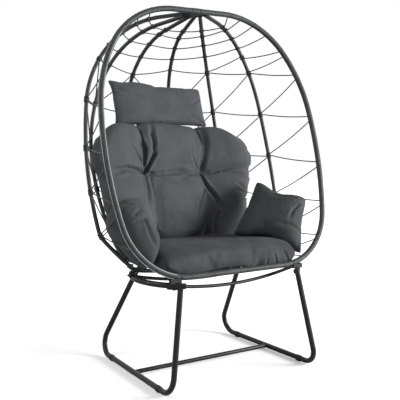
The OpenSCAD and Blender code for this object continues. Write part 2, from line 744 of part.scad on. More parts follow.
// Diagonals climb from a row to the one above it. A panel is [high support, low support, high
// tie's place, low tie's place].
module diagonal_lacing(panels) {
    color(cord_grey) basket_frame() for (panel = panels, i = [0:len(all_rows) - 2]) {
        high = panel[0];
        low = panel[1];
        t_high = all_rows[i][high] + (high == 0 ? pair_gap_left : high == 7 ? pair_gap_right
            : tie_rise + panel[2] * tie_step);
        t_low = all_rows[i + 1][low] - tie_rise - panel[3] * tie_step;
        lashing(high, t_high);
        lashing(low, t_low);
        stretch(high, t_high, low, t_low);
    }
}

module left_lacing() {
    diagonal_lacing([[0, 1, 0, 0], [1, 2, 0, 0], [3, 2, 0, 1], [3, 4, 1, 0]]);
}

module right_lacing() {
    diagonal_lacing([[5, 4, 0, 1], [6, 5, 0, 0], [7, 6, 0, 0]]);
    right_extra_ties();
}

module right_extra_ties() {
    color(cord_grey) basket_frame() for (t = shoulder_ties) {
        lashing(t[0], t[1]);
        lashing(t[2], t[3]);
        stretch(t[0], t[1], t[2], t[3]);
    }
}

// A cushion is two grids of points, its front and its back, closed round the edge. share()
// spaces the points so that they lie closer together near the edges.
function share(i, n) = sin(90 * (2 * i / n - 1));
function crown_of(u, w, k) = sqrt(max(0, (1 - pow(abs(u), k)) * (1 - pow(abs(w), k))));
function grid_faces(n, m) = let (c = (n + 1) * (m + 1), at = function(i, j) i * (m + 1) + j) concat(
    [for (i = [0:n - 1], j = [0:m - 1]) each
        [[at(i + 1, j), at(i, j), at(i + 1, j + 1)], [at(i + 1, j + 1), at(i, j), at(i, j + 1)]]],
    [for (i = [0:n - 1], j = [0:m - 1]) each
        [[c + at(i + 1, j + 1), c + at(i, j), c + at(i + 1, j)],
            [c + at(i, j + 1), c + at(i, j), c + at(i + 1, j + 1)]]],
    [for (i = [0:n - 1]) each
        [[c + at(i + 1, 0), at(i, 0), at(i + 1, 0)], [c + at(i, 0), at(i, 0), c + at(i + 1, 0)],
         [at(i + 1, m), at(i, m), c + at(i + 1, m)], [c + at(i + 1, m), at(i, m), c + at(i, m)]]],
    [for (j = [0:m - 1]) each
        [[at(0, j + 1), at(0, j), c + at(0, j + 1)], [c + at(0, j + 1), at(0, j), c + at(0, j)],
         [c + at(n, j + 1), at(n, j), at(n, j + 1)], [c + at(n, j), at(n, j), c + at(n, j + 1)]]]);

// corners are [low left, low right, high right, high left] seen from the front, and the sides
// draw in by pull between them. edge is the seam's half thickness.
module pillow(corners, front_t, back_t, pull, edge, k, n, m) {
    normal = unit(cross(corners[1] - corners[3], corners[2] - corners[0]));
    base = function(u, w) mix(
        mix(corners[0], corners[1], (u + 1) / 2),
        mix(corners[3], corners[2], (u + 1) / 2), (w + 1) / 2);
    place = function(u, w) base(u * (1 - pull[0] * (1 - w * w)), w * (1 - pull[1] * (1 - u * u)));
    front = [for (i = [0:n], j = [0:m]) let (u = share(i, n), w = share(j, m))
        place(u, w) + normal * (edge + front_t * crown_of(u, w, k))];
    back = [for (i = [0:n], j = [0:m]) let (u = share(i, n), w = share(j, m))
        place(u, w) - normal * (edge + back_t * crown_of(u, w, k))];
    polyhedron(concat(front, back), grid_faces(n, m), convexity = 6);
}

seam = 3;
seat_bottom_z = hoop_foot_z + rib_d / 2 + cord_d + soft_gap;
seat_front_y = -hoop_forward + 12;
seat_mid_z = seat_bottom_z + seat_t / 2;

// grow thickens the cushion all round, where another one is cut to lie against it
module seat_form(grow) {
    f = seat_front_y - grow;
    r = seat_front_y + seat_d + grow;
    // a cushion's front is its upper face here, so its corners run from the rear to the front
    pillow([[-seat_half_w_rear - grow, r, seat_mid_z], [-seat_half_w - grow, f, seat_mid_z],
        [seat_half_w + grow, f, seat_mid_z], [seat_half_w_rear + grow, r, seat_mid_z]],
        seat_t / 2 - seam + grow, seat_t / 2 - seam + grow, [0, -0.2], seam, 7, 16, 20);
}

module seat_cushion() {
    color(fabric_grey) seat_form(0);
}

back_foot_y = 196;
back_foot_z = seat_bottom_z + seat_t - 12;
back_lean = 17;
back_curve_r = 1050;
// The two tufts lie on these points of the cushion's grid
back_n = 24;
back_m = 22;
tuft_u = share(15, back_n);
tuft_w = share(12, back_m);
// Depth of the valleys between the lobes, as a share of the lobes' own
valley = 0.42;

// Middle surface of the back cushion: u runs across it and w up it
function back_middle(u, w) = let (
    half = mix(back_half_w_bottom, back_half_w_top, (w + 1) / 2) * (1 - 0.05 * pow(abs(w), 4)),
    x = u * half,
    up = (w + 1) / 2 * back_h * (1 - 0.05 * pow(abs(u), 4))
) [x, back_foot_y + up * sin(back_lean) - x * x / (2 * back_curve_r), back_foot_z + up * cos(back_lean)];

// Lobes between the tufts: three across and two up
function lobe(t) = pow(abs(sin(180 * t)), 0.45);
function back_lobes(u, w) = let (
    across = abs(u) < tuft_u ? (u + tuft_u) / (2 * tuft_u) : (abs(u) - tuft_u) / (2 * (1 - tuft_u)),
    up = w < tuft_w ? (w + 1) / (2 * (tuft_w + 1)) + 0.5 : (w - tuft_w) / (2 * (1 - tuft_w))
) valley + (1 - valley) * lobe(across) * lobe(up);

back_normal = [0, -cos(back_lean), sin(back_lean)];

module back_form(grow) {
    n = back_n;
    m = back_m;
    thick = function(u, w, share) seam + grow + (back_t / 2 - seam) * share * crown_of(u, w, 5);
    front = [for (i = [0:n], j = [0:m]) let (u = share(i, n), w = share(j, m))
        back_middle(u, w) + back_normal * thick(u, w, back_lobes(u, w))];
    back = [for (i = [0:n], j = [0:m]) let (u = share(i, n), w = share(j, m))
        back_middle(u, w) - back_normal * thick(u, w, 0.9)];
    polyhedron(concat(front, back), grid_faces(n, m), convexity = 8);
}

module back_cushion() {
    color(fabric_grey) difference() {
        back_form(0);
        seat_form(soft_gap);
    }
}

// Covered buttons sit in the two tufts, where the lobes slope down to them
module back_tufts() {
    tuft_t = 4;
    lobe_slope = 0.375;
    depth = seam + (back_t / 2 - seam) * valley * crown_of(tuft_u, tuft_w, 5);
    color(fabric_grey) for (side = [-1, 1]) {
        face = back_middle(side * tuft_u, tuft_w) + back_normal * (depth + lobe_slope * tuft_d / 2 + fit_gap);
        rod(face, face + back_normal * tuft_t, tuft_d);
    }
}

head_center = [0, 390, 1112];
head_lean = 16;
head_back_t = 22;
// The headrest's right upper corner has slumped, down and inwards
head_slump = [9, 18];
function head_point(x, z) = head_center + [x, z * sin(head_lean), z * cos(head_lean)];

module headrest_pillow() {
    color(fabric_grey) pillow([head_point(-head_w / 2, -head_h / 2), head_point(head_w / 2, -head_h / 2),
        head_point(head_w / 2 - head_slump[0], head_h / 2 - head_slump[1]),
        head_point(-head_w / 2, head_h / 2)],
        head_t / 2 - seam, head_back_t, [0.05, 0.07], seam, 4, 18, 12);
}

// Tapes sewn to the pillow's top seam and tied round the rear ribs
module headrest_ties() {
    tape_t = 1.2;
    tape_w = 14;
    level = 577;
    // How far the pillow's back lies in from its fullest, where each tape is sewn on
    fall = [4.9, 8.5];
    color(fabric_grey) for (k = [3, 4]) {
        side = k == 3 ? -1 : 1;
        rib_point = place_in_basket(on_support(k, level));
        start = head_point(side * head_w * 0.24, head_h * 0.4)
            + (head_back_t - fall[k - 3]) * [0, cos(head_lean), -sin(head_lean)];
        reach = rib_point - start;
        stop = start + unit(reach) * (norm(reach) - rib_d / 2 - tape_t - fit_gap);
        along(start, stop) translate([-tape_t / 2, -tape_w / 2, 0])
            cube([tape_t, tape_w, norm(stop - start)]);
        basket_frame() translate(on_support(k, level)) along([0, 0, 0], support_dir(k, level))
            translate([0, 0, -tape_w / 2]) difference() {
                cylinder(h = tape_w, d = rib_d + 2 * (tape_t + fit_gap));
                translate([0, 0, -1]) cylinder(h = tape_w + 2, d = rib_d + 2 * fit_gap);
            }
    }
}

function place_in_basket(p) = [p[0],
    crown_y + p[1] * cos(hoop_tilt) + p[2] * sin(hoop_tilt),
    crown_z - p[1] * sin(hoop_tilt) + p[2] * cos(hoop_tilt)];

// Arm pillows lie askew in the corners of the basket: [low rear, low front, high front, high rear]
right_arm_corners = [[172, 6, 556], [356, -200, 496], [440, -140, 694], [348, 92, 752]];
left_arm_corners = [for (p = right_arm_corners) mirror_x(p)];

module arm_pillow(side) {
    c = side > 0 ? right_arm_corners : left_arm_corners;
    order = side > 0 ? [0, 1, 2, 3] : [1, 0, 3, 2];
    color(fabric_grey) difference() {
        pillow([for (i = order) c[i]], arm_t / 2 - seam, arm_t / 2 - seam, [0.06, 0.06], seam, 4, 14, 14);
        seat_form(soft_gap);
    }
}

placed() leg(-1, true);  // left_front_leg
placed() leg(-1, false);  // left_rear_leg
placed() leg(1, true);  // right_front_leg
placed() leg(1, false);  // right_rear_leg
placed() sled_tube(-1);  // left_sled_tube
placed() sled_tube(1);  // right_sled_tube
placed() sled_collars();
placed() cross_bar();
placed() cross_bar_screws();
placed() side_arc(-1);  // left_side_arc
placed() side_arc(1);  // right_side_arc
placed() tie(true);  // front_tie
placed() tie(false);  // rear_tie
placed() tie_screws();
placed() arc_end_caps();
placed() hoop_brackets();
placed() hoop_bolts();
placed() hoop_tube(-1);  // left_hoop_tube
placed() hoop_tube(1);  // right_hoop_tube
placed() spigot(true);  // crown_spigot
placed() spigot(false);  // foot_spigot
placed() hoop_screws();
placed() side_wrap(-1);  // left_hoop_wrap
placed() side_wrap(1);  // right_hoop_wrap
placed() foot_wrap(-1);  // left_foot_wrap
placed() foot_wrap(1);  // right_foot_wrap
placed() hoop_pads();
placed() hub(true);  // crown_hub
placed() hub(false);  // seat_hub
placed() rib(1);  // rib_1
placed() rib(2);  // rib_2
placed() rib(3);  // rib_3
placed() rib(4);  // rib_4
placed() rib(5);  // rib_5
placed() rib(6);  // rib_6
placed() rib_wrap(1);  // rib_wrap_1
placed() rib_wrap(2);  // rib_wrap_2
placed() rib_wrap(3);  // rib_wrap_3
placed() rib_wrap(4);  // rib_wrap_4
placed() rib_wrap(5);  // rib_wrap_5
placed() rib_wrap(6);  // rib_wrap_6
placed() rib_clips();
placed() row_lacing(crown_rows);  // crown_lacing
placed() row_lacing(upper_rows);  // back_lacing_upper
placed() row_lacing(lower_rows);  // back_lacing_lower
placed() row_lacing(seat_rows);  // seat_lacing
placed() left_lacing();  // left_diagonal_lacing
placed() right_lacing();  // right_diagonal_lacing
placed() seat_cushion();
placed() back_cushion();
placed() back_tufts();
placed() headrest_pillow();
placed() headrest_ties();
placed() arm_pillow(-1);  // left_arm_pillow
placed() arm_pillow(1);  // right_arm_pillow
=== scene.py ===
import bpy, bmesh, math
import numpy as np
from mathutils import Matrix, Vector, noise
from mathutils.bvhtree import BVHTree


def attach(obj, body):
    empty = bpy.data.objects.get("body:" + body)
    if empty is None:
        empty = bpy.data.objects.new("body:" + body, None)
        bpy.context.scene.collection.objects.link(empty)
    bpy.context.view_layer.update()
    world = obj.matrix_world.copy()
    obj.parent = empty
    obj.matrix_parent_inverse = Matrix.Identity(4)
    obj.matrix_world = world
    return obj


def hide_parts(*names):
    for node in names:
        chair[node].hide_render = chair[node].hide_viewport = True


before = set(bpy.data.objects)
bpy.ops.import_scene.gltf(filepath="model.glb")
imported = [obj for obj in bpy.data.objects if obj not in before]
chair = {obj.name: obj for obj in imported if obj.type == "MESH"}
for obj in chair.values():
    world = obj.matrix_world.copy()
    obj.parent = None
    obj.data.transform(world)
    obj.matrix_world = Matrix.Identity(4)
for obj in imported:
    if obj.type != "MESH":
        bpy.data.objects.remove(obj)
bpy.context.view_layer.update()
mm = 0.001
scene = bpy.context.scene

# Camera, turned as in the photograph
photoCamera = {"eye": (-1.5951, -2.5572, 0.9701), "turn": -32.57, "dip": 5.35, "lens": 63.0, "sensor": 36.0}


def placeCamera(s):
    data = bpy.data.cameras.new("photoCamera")
    data.lens, data.sensor_width = s["lens"], s["sensor"]
    data.clip_start, data.clip_end = 0.05, 60
    cam = bpy.data.objects.new("photoCamera", data)
    scene.collection.objects.link(cam)
    a, e = math.radians(s["turn"]), math.radians(s["dip"])
    back = Vector((math.sin(a) * math.cos(e), -math.cos(a) * math.cos(e), math.sin(e)))
    cam.location = s["eye"]
    cam.rotation_mode = "QUATERNION"
    cam.rotation_quaternion = (-back).to_track_quat("-Z", "Y")
    scene.camera = cam


# Soft studio light, white backdrop and pale floor
studio = {
    "skyFill": 0.34, "skySeen": 1.0, "aim": (0, 0, 0.7),
    "key": {"at": (3.0, -2.9, 1.45), "size": 1.8, "watts": 290},
    "rim": {"at": (-2.6, 0.6, 2.4), "size": 2.0, "watts": 40},
    "floorHalf": 9.0, "floorDrop": 0.0006, "floorColor": 0.8, "floorSeen": 0.92,
    "floorLift": (0.3, 1.0), "liftFrom": (0.7, 2.4),  # grows with the distance from the chair
}


def seenRays(nodes, links):
    path = nodes.new("ShaderNodeLightPath")
    first = nodes.new("ShaderNodeMath")
    first.operation = "MAXIMUM"
    links.new(path.outputs["Is Camera Ray"], first.inputs[0])
    links.new(path.outputs["Is Glossy Ray"], first.inputs[1])
    both = nodes.new("ShaderNodeMath")
    both.operation = "MAXIMUM"
    links.new(first.outputs[0], both.inputs[0])
    links.new(path.outputs["Is Transmission Ray"], both.inputs[1])
    return both.outputs[0]


def lightStudio(s):
    world = bpy.data.worlds.new("studioSky")
    world.use_nodes = True
    n, l = world.node_tree.nodes, world.node_tree.links
    n.clear()
    fill, seen = n.new("ShaderNodeBackground"), n.new("ShaderNodeBackground")
    fill.inputs["Color"].default_value = (1.0, 1.0, 1.0, 1)
    fill.inputs["Strength"].default_value = s["skyFill"]
    seen.inputs["Color"].default_value = (1, 1, 1, 1)
    seen.inputs["Strength"].default_value = s["skySeen"]
    mix, out = n.new("ShaderNodeMixShader"), n.new("ShaderNodeOutputWorld")
    l.new(seenRays(n, l), mix.inputs[0])
    l.new(fill.outputs[0], mix.inputs[1])
    l.new(seen.outputs[0], mix.inputs[2])
    l.new(mix.outputs[0], out.inputs[0])
    scene.world = world
    for name in ("key", "rim"):
        lamp = bpy.data.lights.new(name + "Light", "AREA")
        lamp.shape, lamp.size, lamp.energy = "DISK", s[name]["size"], s[name]["watts"]
        holder = bpy.data.objects.new(name + "Light", lamp)
        scene.collection.objects.link(holder)
        holder.location = s[name]["at"]
        holder.rotation_mode = "QUATERNION"
        holder.rotation_quaternion = (Vector(s[name]["at"]) - Vector(s["aim"])).to_track_quat("Z", "Y")
    mat = bpy.data.materials.new("paleFloor")
    mat.use_nodes = True
    n, l = mat.node_tree.nodes, mat.node_tree.links
    n.clear()
    plain, bright = n.new("ShaderNodeBsdfDiffuse"), n.new("ShaderNodeBsdfDiffuse")
    plain.inputs["Color"].default_value = (s["floorColor"],) * 3 + (1,)
    bright.inputs["Color"].default_value = (s["floorSeen"],) * 3 + (1,)
    lift, add = n.new("ShaderNodeEmission"), n.new("ShaderNodeAddShader")
    place, far, grow = n.new("ShaderNodeTexCoord"), n.new("ShaderNodeVectorMath"), n.new("ShaderNodeMapRange")
    far.operation = "LENGTH"
    l.new(place.outputs["Object"], far.inputs[0])
    l.new(far.outputs["Value"], grow.inputs["Value"])
    for socket, value in zip(("From Min", "From Max", "To Min", "To Max"), s["liftFrom"] + s["floorLift"]):
        grow.inputs[socket].default_value = value
    l.new(grow.outputs[0], lift.inputs["Strength"])
    mix, out = n.new("ShaderNodeMixShader"), n.new("ShaderNodeOutputMaterial")
    path = n.new("ShaderNodeLightPath")
    l.new(bright.outputs[0], add.inputs[0])
    l.new(lift.outputs[0], add.inputs[1])
    l.new(path.outputs["Is Camera Ray"], mix.inputs[0])
    l.new(plain.outputs[0], mix.inputs[1])
    l.new(add.outputs[0], mix.inputs[2])
    l.new(mix.outputs[0], out.inputs["Surface"])
    h = s["floorHalf"]
    mesh = bpy.data.meshes.new("studioFloor")
    mesh.from_pydata([(-h, -h, 0), (h, -h, 0), (h, h, 0), (-h, h, 0)], [], [(0, 1, 2, 3)])
    mesh.materials.append(mat)
    floor = bpy.data.objects.new("studioFloor", mesh)
    floor.location.z = -s["floorDrop"]
    scene.collection.objects.link(floor)


scene.view_settings.view_transform = "Standard"
placeCamera(photoCamera)
lightStudio(studio)
print("stage: camera and light")


# Finishes, all read from Object coordinates
def newFinish(name):
    mat = bpy.data.materials.new(name)
    mat.use_nodes = True
    n, l = mat.node_tree.nodes, mat.node_tree.links
    n.clear()
    out, body = n.new("ShaderNodeOutputMaterial"), n.new("ShaderNodeBsdfPrincipled")
    l.new(body.outputs[0], out.inputs["Surface"])
    place = n.new("ShaderNodeTexCoord")
    return mat, n, l, body, place.outputs["Object"]


def mathNode(n, l, op, a, b=None, clamp=False):
    m = n.new("ShaderNodeMath")
    m.operation, m.use_clamp = op, clamp
    for i, v in enumerate((a, b)):
        if v is None:
            continue
        if isinstance(v, (int, float)):
            m.inputs[i].default_value = v
        else:
            l.new(v, m.inputs[i])
    return m.outputs[0]


def weighed(n, l, a, aShare, b, bShare):
    return mathNode(n, l, "ADD", mathNode(n, l, "MULTIPLY", a, aShare), mathNode(n, l, "MULTIPLY", b, bShare))


def noiseNode(n, l, where, scale, detail=3.0, rough=0.55):
    t = n.new("ShaderNodeTexNoise")
    t.inputs["Scale"].default_value = scale
    t.inputs["Detail"].default_value = detail
    t.inputs["Roughness"].default_value = rough
    l.new(where, t.inputs["Vector"])
    return t.outputs["Fac"]


def spread(n, l, value, low, high, outLow, outHigh):
    r = n.new("ShaderNodeMapRange")
    r.inputs["From Min"].default_value, r.inputs["From Max"].default_value = low, high
    r.inputs["To Min"].default_value, r.inputs["To Max"].default_value = outLow, outHigh
    l.new(value, r.inputs["Value"])
    return r.outputs[0]


def shades(n, l, value, dark, light):
    ramp = n.new("ShaderNodeValToRGB")
    ramp.color_ramp.elements[0].color = (*dark, 1)
    ramp.color_ramp.elements[1].color = (*light, 1)
    l.new(value, ramp.inputs[0])
    return ramp.outputs[0]


def bumpOn(n, l, body, height, strength, distance):
    b = n.new("ShaderNodeBump")
    b.inputs["Strength"].default_value = strength
    b.inputs["Distance"].default_value = distance
    l.new(height, b.inputs["Height"])
    l.new(b.outputs[0], body.inputs["Normal"])


def wovenFabric(name, dark, light, thread=1.3 * mm):
    mat, n, l, body, where = newFinish(name)
    parts = n.new("ShaderNodeSeparateXYZ")
    l.new(where, parts.inputs[0])
    turns = 2 * math.pi / thread
    # warp runs up the cloth and weft across it, each swelling where it passes over the other
    slope = mathNode(n, l, "MULTIPLY", parts.outputs["Y"], 0.7)
    across = mathNode(n, l, "ADD", parts.outputs["X"], slope)
    upward = mathNode(n, l, "SUBTRACT", parts.outputs["Z"], slope)
    warp = mathNode(n, l, "SINE", mathNode(n, l, "MULTIPLY", across, turns))
    weft = mathNode(n, l, "SINE", mathNode(n, l, "MULTIPLY", upward, turns))
    weave = mathNode(n, l, "MULTIPLY", warp, weft)
    slub = noiseNode(n, l, where, 240, 4, 0.7)
    broad = noiseNode(n, l, where, 14, 3, 0.5)
    tone = weighed(n, l, broad, 0.6, slub, 0.4)
    tone = mathNode(n, l, "ADD", tone, mathNode(n, l, "MULTIPLY", weave, 0.06))
    l.new(shades(n, l, spread(n, l, tone, 0.3, 0.7, 0.0, 1.0), dark, light), body.inputs["Base Color"])
    l.new(spread(n, l, slub, 0.3, 0.7, 0.82, 0.96), body.inputs["Roughness"])
    body.inputs["Specular IOR Level"].default_value = 0.06
    body.inputs["Sheen Weight"].default_value = 0.05
    body.inputs["Sheen Roughness"].default_value = 0.45
    body.inputs["Sheen Tint"].default_value = (0.7, 0.74, 0.78, 1)
    height = mathNode(n, l, "ADD", mathNode(n, l, "MULTIPLY", weave, 0.35), slub)
    bumpOn(n, l, body, height, 0.4, 0.5 * mm)
    return mat


def woundStrand(name, dark, light, rough):
    mat, n, l, body, where = newFinish(name)
    groove = n.new("ShaderNodeAttribute")
    groove.attribute_name = "grooveShadeMask"
    fibre = noiseNode(n, l, where, 420, 3, 0.6)
    broad = noiseNode(n, l, where, 18, 2, 0.5)
    tone = weighed(n, l, broad, 0.5, fibre, 0.5)
    tone = spread(n, l, tone, 0.32, 0.68, 0.0, 1.0)
    # painted shade: the base colour is darkened in the grooves between the turns of the strand
    tone = mathNode(n, l, "SUBTRACT", tone, mathNode(n, l, "MULTIPLY", groove.outputs["Fac"], 0.75), True)
    l.new(shades(n, l, tone, dark, light), body.inputs["Base Color"])
    l.new(spread(n, l, fibre, 0.3, 0.7, rough - 0.08, rough + 0.1), body.inputs["Roughness"])
    body.inputs["Specular IOR Level"].default_value = 0.35
    bumpOn(n, l, body, fibre, 0.3, 0.3 * mm)
    return mat


def coatedMetal(name, dark, light, rough, metal=0.0, grain=260):
    mat, n, l, body, where = newFinish(name)
    peel = noiseNode(n, l, where, grain, 3, 0.5)
    dust = noiseNode(n, l, where, 9, 4, 0.6)
    l.new(shades(n, l, spread(n, l, dust, 0.3, 0.72, 0.0, 1.0), dark, light), body.inputs["Base Color"])
    l.new(spread(n, l, dust, 0.3, 0.7, rough - 0.06, rough + 0.09), body.inputs["Roughness"])
    body.inputs["Metallic"].default_value = metal
    body.inputs["Specular IOR Level"].default_value = 0.5 if metal else 0.22
    bumpOn(n, l, body, peel, 0.18, 0.25 * mm)
    return mat


blackPaint = coatedMetal("blackPaint", (0.007, 0.007, 0.008), (0.014, 0.014, 0.015), 0.3)
blackPlastic = coatedMetal("blackPlastic", (0.013, 0.013, 0.014), (0.026, 0.026, 0.028), 0.55, grain=700)
darkBolt = coatedMetal("darkBolt", (0.05, 0.05, 0.052), (0.09, 0.09, 0.095), 0.34, metal=0.85, grain=900)
hoopWicker = woundStrand("hoopWicker", (0.012, 0.0125, 0.0135), (0.05, 0.052, 0.055), 0.55)
ribWicker = woundStrand("ribWicker", (0.008, 0.008, 0.009), (0.036, 0.037, 0.04), 0.46)
lacingCord = woundStrand("lacingCord", (0.02, 0.021, 0.022), (0.06, 0.062, 0.066), 0.5)
# painted highlight: a pale strand colour for the glints along the hoop's edges
paleStrand = woundStrand("paleStrand", (0.3, 0.305, 0.31), (0.56, 0.565, 0.57), 0.45)
backFabric = wovenFabric("backFabric", (0.064, 0.065, 0.07), (0.09, 0.092, 0.098))
seatFabric = wovenFabric("seatFabric", (0.048, 0.049, 0.053), (0.067, 0.069, 0.074))
tapeFabric = wovenFabric("tapeFabric", (0.03, 0.031, 0.033), (0.05, 0.051, 0.054), 0.8 * mm)

finishOf = {
    "blackPaint": ["left_front_leg", "right_front_leg", "left_rear_leg", "right_rear_leg", "left_sled_tube",
                   "right_sled_tube", "cross_bar", "left_side_arc", "right_side_arc", "front_tie", "rear_tie",
                   "hoop_brackets", "left_hoop_tube", "right_hoop_tube", "crown_spigot", "foot_spigot",
                   "crown_hub", "seat_hub", "rib_1", "rib_2", "rib_3", "rib_4", "rib_5", "rib_6"],
    "blackPlastic": ["sled_collars", "arc_end_caps", "hoop_pads", "rib_clips"],
    "darkBolt": ["cross_bar_screws", "tie_screws", "hoop_bolts", "hoop_screws"],
}
for finishName, names in finishOf.items():
    for name in names:
        for holder in chair[name].material_slots:
            holder.material = bpy.data.materials[finishName]
print("stage: finishes")


# The basket's plane paths, as in the part's source: [distance out, height, heading, radius, turn or length]
basket = {"lean": 15.7, "crown": (-56.21, 1477.73), "angles": [180, 149, 124, 101.7, 78.3, 56, 31, 0],
          "hoopWide": 22.2, "ribWide": 16.6, "cordWide": 4.0}
hoopPath = [[0, 0, 0, 0, 120], [120, 0, 0, 350, 58], [416.817, -164.528, -58, 585, 26],
            [502.504, -413.382, -84, 1545, 17], [482.582, -869.678, -101, 262.388, 79],
            [225.015, -1082, -180, 0, 225.015]]
outerPath = [[0, 0, 0, 0, 165], [165, 0, 0, 325, 41], [378.219, -79.7194, -41, 405, 38],
             [510.074, -308.099, -79, 1715, 18], [528.8, -844.342, -97, 105, 28],
             [510.594, -891.772, -125, 1365, 6], [422.63, -1004.36, -131, 67.1347, 40.7625],
             [381.582, -1026.76, -171.762, 0, 385.56]]
middlePath = [[0, 2, 0, 0, 190], [190, 2, 0, 375, 58], [508.018, -174.28, -58, 645, 32],
              [606.027, -516.078, -90, 1125, 19], [544.735, -882.342, -109, 185, 26],
              [500.629, -952.927, -135, 80.1146, 31.8824], [462.162, -974.302, -166.882, 0, 474.544]]
rearPath = [[0, 4, 0, 0, 215], [215, 4, 0, 355, 63], [531.307, -189.833, -63, 710, 29],
            [608.26, -536.945, -92, 1160, 18], [539.01, -893.205, -110, 50, 11],
            [534.884, -901.856, -121, 115.012, 43.6106], [466.821, -953.509, -164.611, 0, 484.182]]
supportPaths = [hoopPath, outerPath, middlePath, rearPath, rearPath, middlePath, outerPath, hoopPath]


def runLength(r):
    return r[4] if r[3] == 0 else r[3] * math.radians(r[4])


def pathLength(path):
    return sum(runLength(r) for r in path)


def pathAt(path, t):
    for i, (r, z, h, radius, size) in enumerate(path):
        long = runLength(path[i])
        if t <= long or i == len(path) - 1:
            a = math.radians(h)
            if radius == 0:
                return r + t * math.cos(a), z + t * math.sin(a), a
            g = a - t / radius
            return r + radius * (math.sin(a) - math.sin(g)), z - radius * (math.cos(a) - math.cos(g)), g
        t -= long


def onSupport(k, t):
    r, z, g = pathAt(supportPaths[k], t)
    a = math.radians(basket["angles"][k])
    return (Vector((r * math.cos(a), r * math.sin(a), z)),
            Vector((math.cos(g) * math.cos(a), math.cos(g) * math.sin(a), math.sin(g))))


def inChair(p):
    a = math.radians(basket["lean"])
    y, z = basket["crown"]
    return Vector((p.x, y + p.y * math.cos(a) + p.z * math.sin(a),
                   z - p.y * math.sin(a) + p.z * math.cos(a))) * mm


def supportLine(k, start, stop, step=7.0):
    count = max(2, int((stop - start) / step))
    return [inChair(onSupport(k, start + (stop - start) * i / count)[0]) for i in range(count + 1)]


# Geometry Nodes tree that winds strand along a path
def windingTree():
    tree = bpy.data.node_groups.new("woundStrand", "GeometryNodeTree")
    tree.interface.new_socket(name="Geometry", in_out="OUTPUT", socket_type="NodeSocketGeometry")
    tree.interface.new_socket(name="Geometry", in_out="INPUT", socket_type="NodeSocketGeometry")
    for name, kind in (("Outer radius", "NodeSocketFloat"), ("Pitch", "NodeSocketFloat"),
                       ("Groove depth", "NodeSocketFloat"), ("Strand squareness", "NodeSocketFloat"),
                       ("Strands", "NodeSocketFloat"), ("Ring spacing", "NodeSocketFloat"),
                       ("Sides", "NodeSocketInt"), ("Unevenness", "NodeSocketFloat"),
                       ("Seed", "NodeSocketFloat"), ("Finish", "NodeSocketMaterial")):
        tree.interface.new_socket(name=name, in_out="INPUT", socket_type=kind)
    n, l = tree.nodes, tree.links
    given, out = n.new("NodeGroupInput"), n.new("NodeGroupOutput")

    def m(op, a, b=None):
        return mathNode(n, l, op, a, b)

    path = n.new("GeometryNodeResampleCurve")
    if hasattr(path, "mode"):
        path.mode = "LENGTH"
    l.new(given.outputs["Geometry"], path.inputs["Curve"])
    l.new(given.outputs["Ring spacing"], path.inputs["Length"])
    along = n.new("GeometryNodeSplineParameter")
    keepAlong = n.new("GeometryNodeCaptureAttribute")
    keepAlong.capture_items.new("FLOAT", "along")
    l.new(path.outputs[0], keepAlong.inputs[0])
    l.new(along.outputs["Length"], keepAlong.inputs[1])
    ring = n.new("GeometryNodeCurvePrimitiveCircle")
    l.new(given.outputs["Sides"], ring.inputs["Resolution"])
    l.new(given.outputs["Outer radius"], ring.inputs["Radius"])
    around = n.new("GeometryNodeSplineParameter")
    keepAround = n.new("GeometryNodeCaptureAttribute")
    keepAround.capture_items.new("FLOAT", "around")
    l.new(ring.outputs[0], keepAround.inputs[0])
    l.new(around.outputs["Factor"], keepAround.inputs[1])
    sweep = n.new("GeometryNodeCurveToMesh")
    sweep.inputs["Fill Caps"].default_value = True
    l.new(keepAlong.outputs[0], sweep.inputs["Curve"])
    l.new(keepAround.outputs[0], sweep.inputs["Profile Curve"])
    turn = m("ADD", m("DIVIDE", keepAlong.outputs[1], given.outputs["Pitch"]),
             m("MULTIPLY", keepAround.outputs[1], given.outputs["Strands"]))
    off = m("ABSOLUTE", m("SUBTRACT", m("MULTIPLY", m("FRACT", turn), 2.0), 1.0))
    groove = m("POWER", off, given.outputs["Strand squareness"])
    place = n.new("GeometryNodeInputPosition")
    wander = n.new("ShaderNodeTexNoise")
    wander.noise_dimensions = "4D"
    wander.inputs["Scale"].default_value = 60.0
    l.new(place.outputs[0], wander.inputs["Vector"])
    l.new(given.outputs["Seed"], wander.inputs["W"])
    bulge = m("MULTIPLY", m("SUBTRACT", wander.outputs["Fac"], 0.5), given.outputs["Unevenness"])
    push = m("SUBTRACT", bulge, m("MULTIPLY", groove, given.outputs["Groove depth"]))
    outward = n.new("GeometryNodeInputNormal")
    shift = n.new("ShaderNodeVectorMath")
    shift.operation = "SCALE"
    l.new(outward.outputs[0], shift.inputs[0])
    l.new(push, shift.inputs["Scale"])
    moved = n.new("GeometryNodeSetPosition")
    l.new(sweep.outputs[0], moved.inputs["Geometry"])
    l.new(shift.outputs[0], moved.inputs["Offset"])
    # the groove profile is stored for the finish, which paints shade into the grooves
    store = n.new("GeometryNodeStoreNamedAttribute")
    store.data_type, store.domain = "FLOAT", "POINT"
    store.inputs["Name"].default_value = "grooveShadeMask"
    l.new(moved.outputs[0], store.inputs["Geometry"])
    l.new(groove, store.inputs["Value"])
    smooth = n.new("GeometryNodeSetShadeSmooth")
    real, finish = n.new("GeometryNodeRealizeInstances"), n.new("GeometryNodeSetMaterial")
    l.new(store.outputs[0], smooth.inputs[0])
    l.new(smooth.outputs[0], real.inputs[0])
    l.new(real.outputs[0], finish.inputs["Geometry"])
    l.new(given.outputs["Finish"], finish.inputs["Material"])
    l.new(finish.outputs[0], out.inputs[0])
    return tree


winding = windingTree()


def setInputs(modifier, values):
    for item in modifier.node_group.interface.items_tree:
        if item.item_type == "SOCKET" and item.in_out == "INPUT" and item.name in values:
            modifier[item.identifier] = values[item.name]


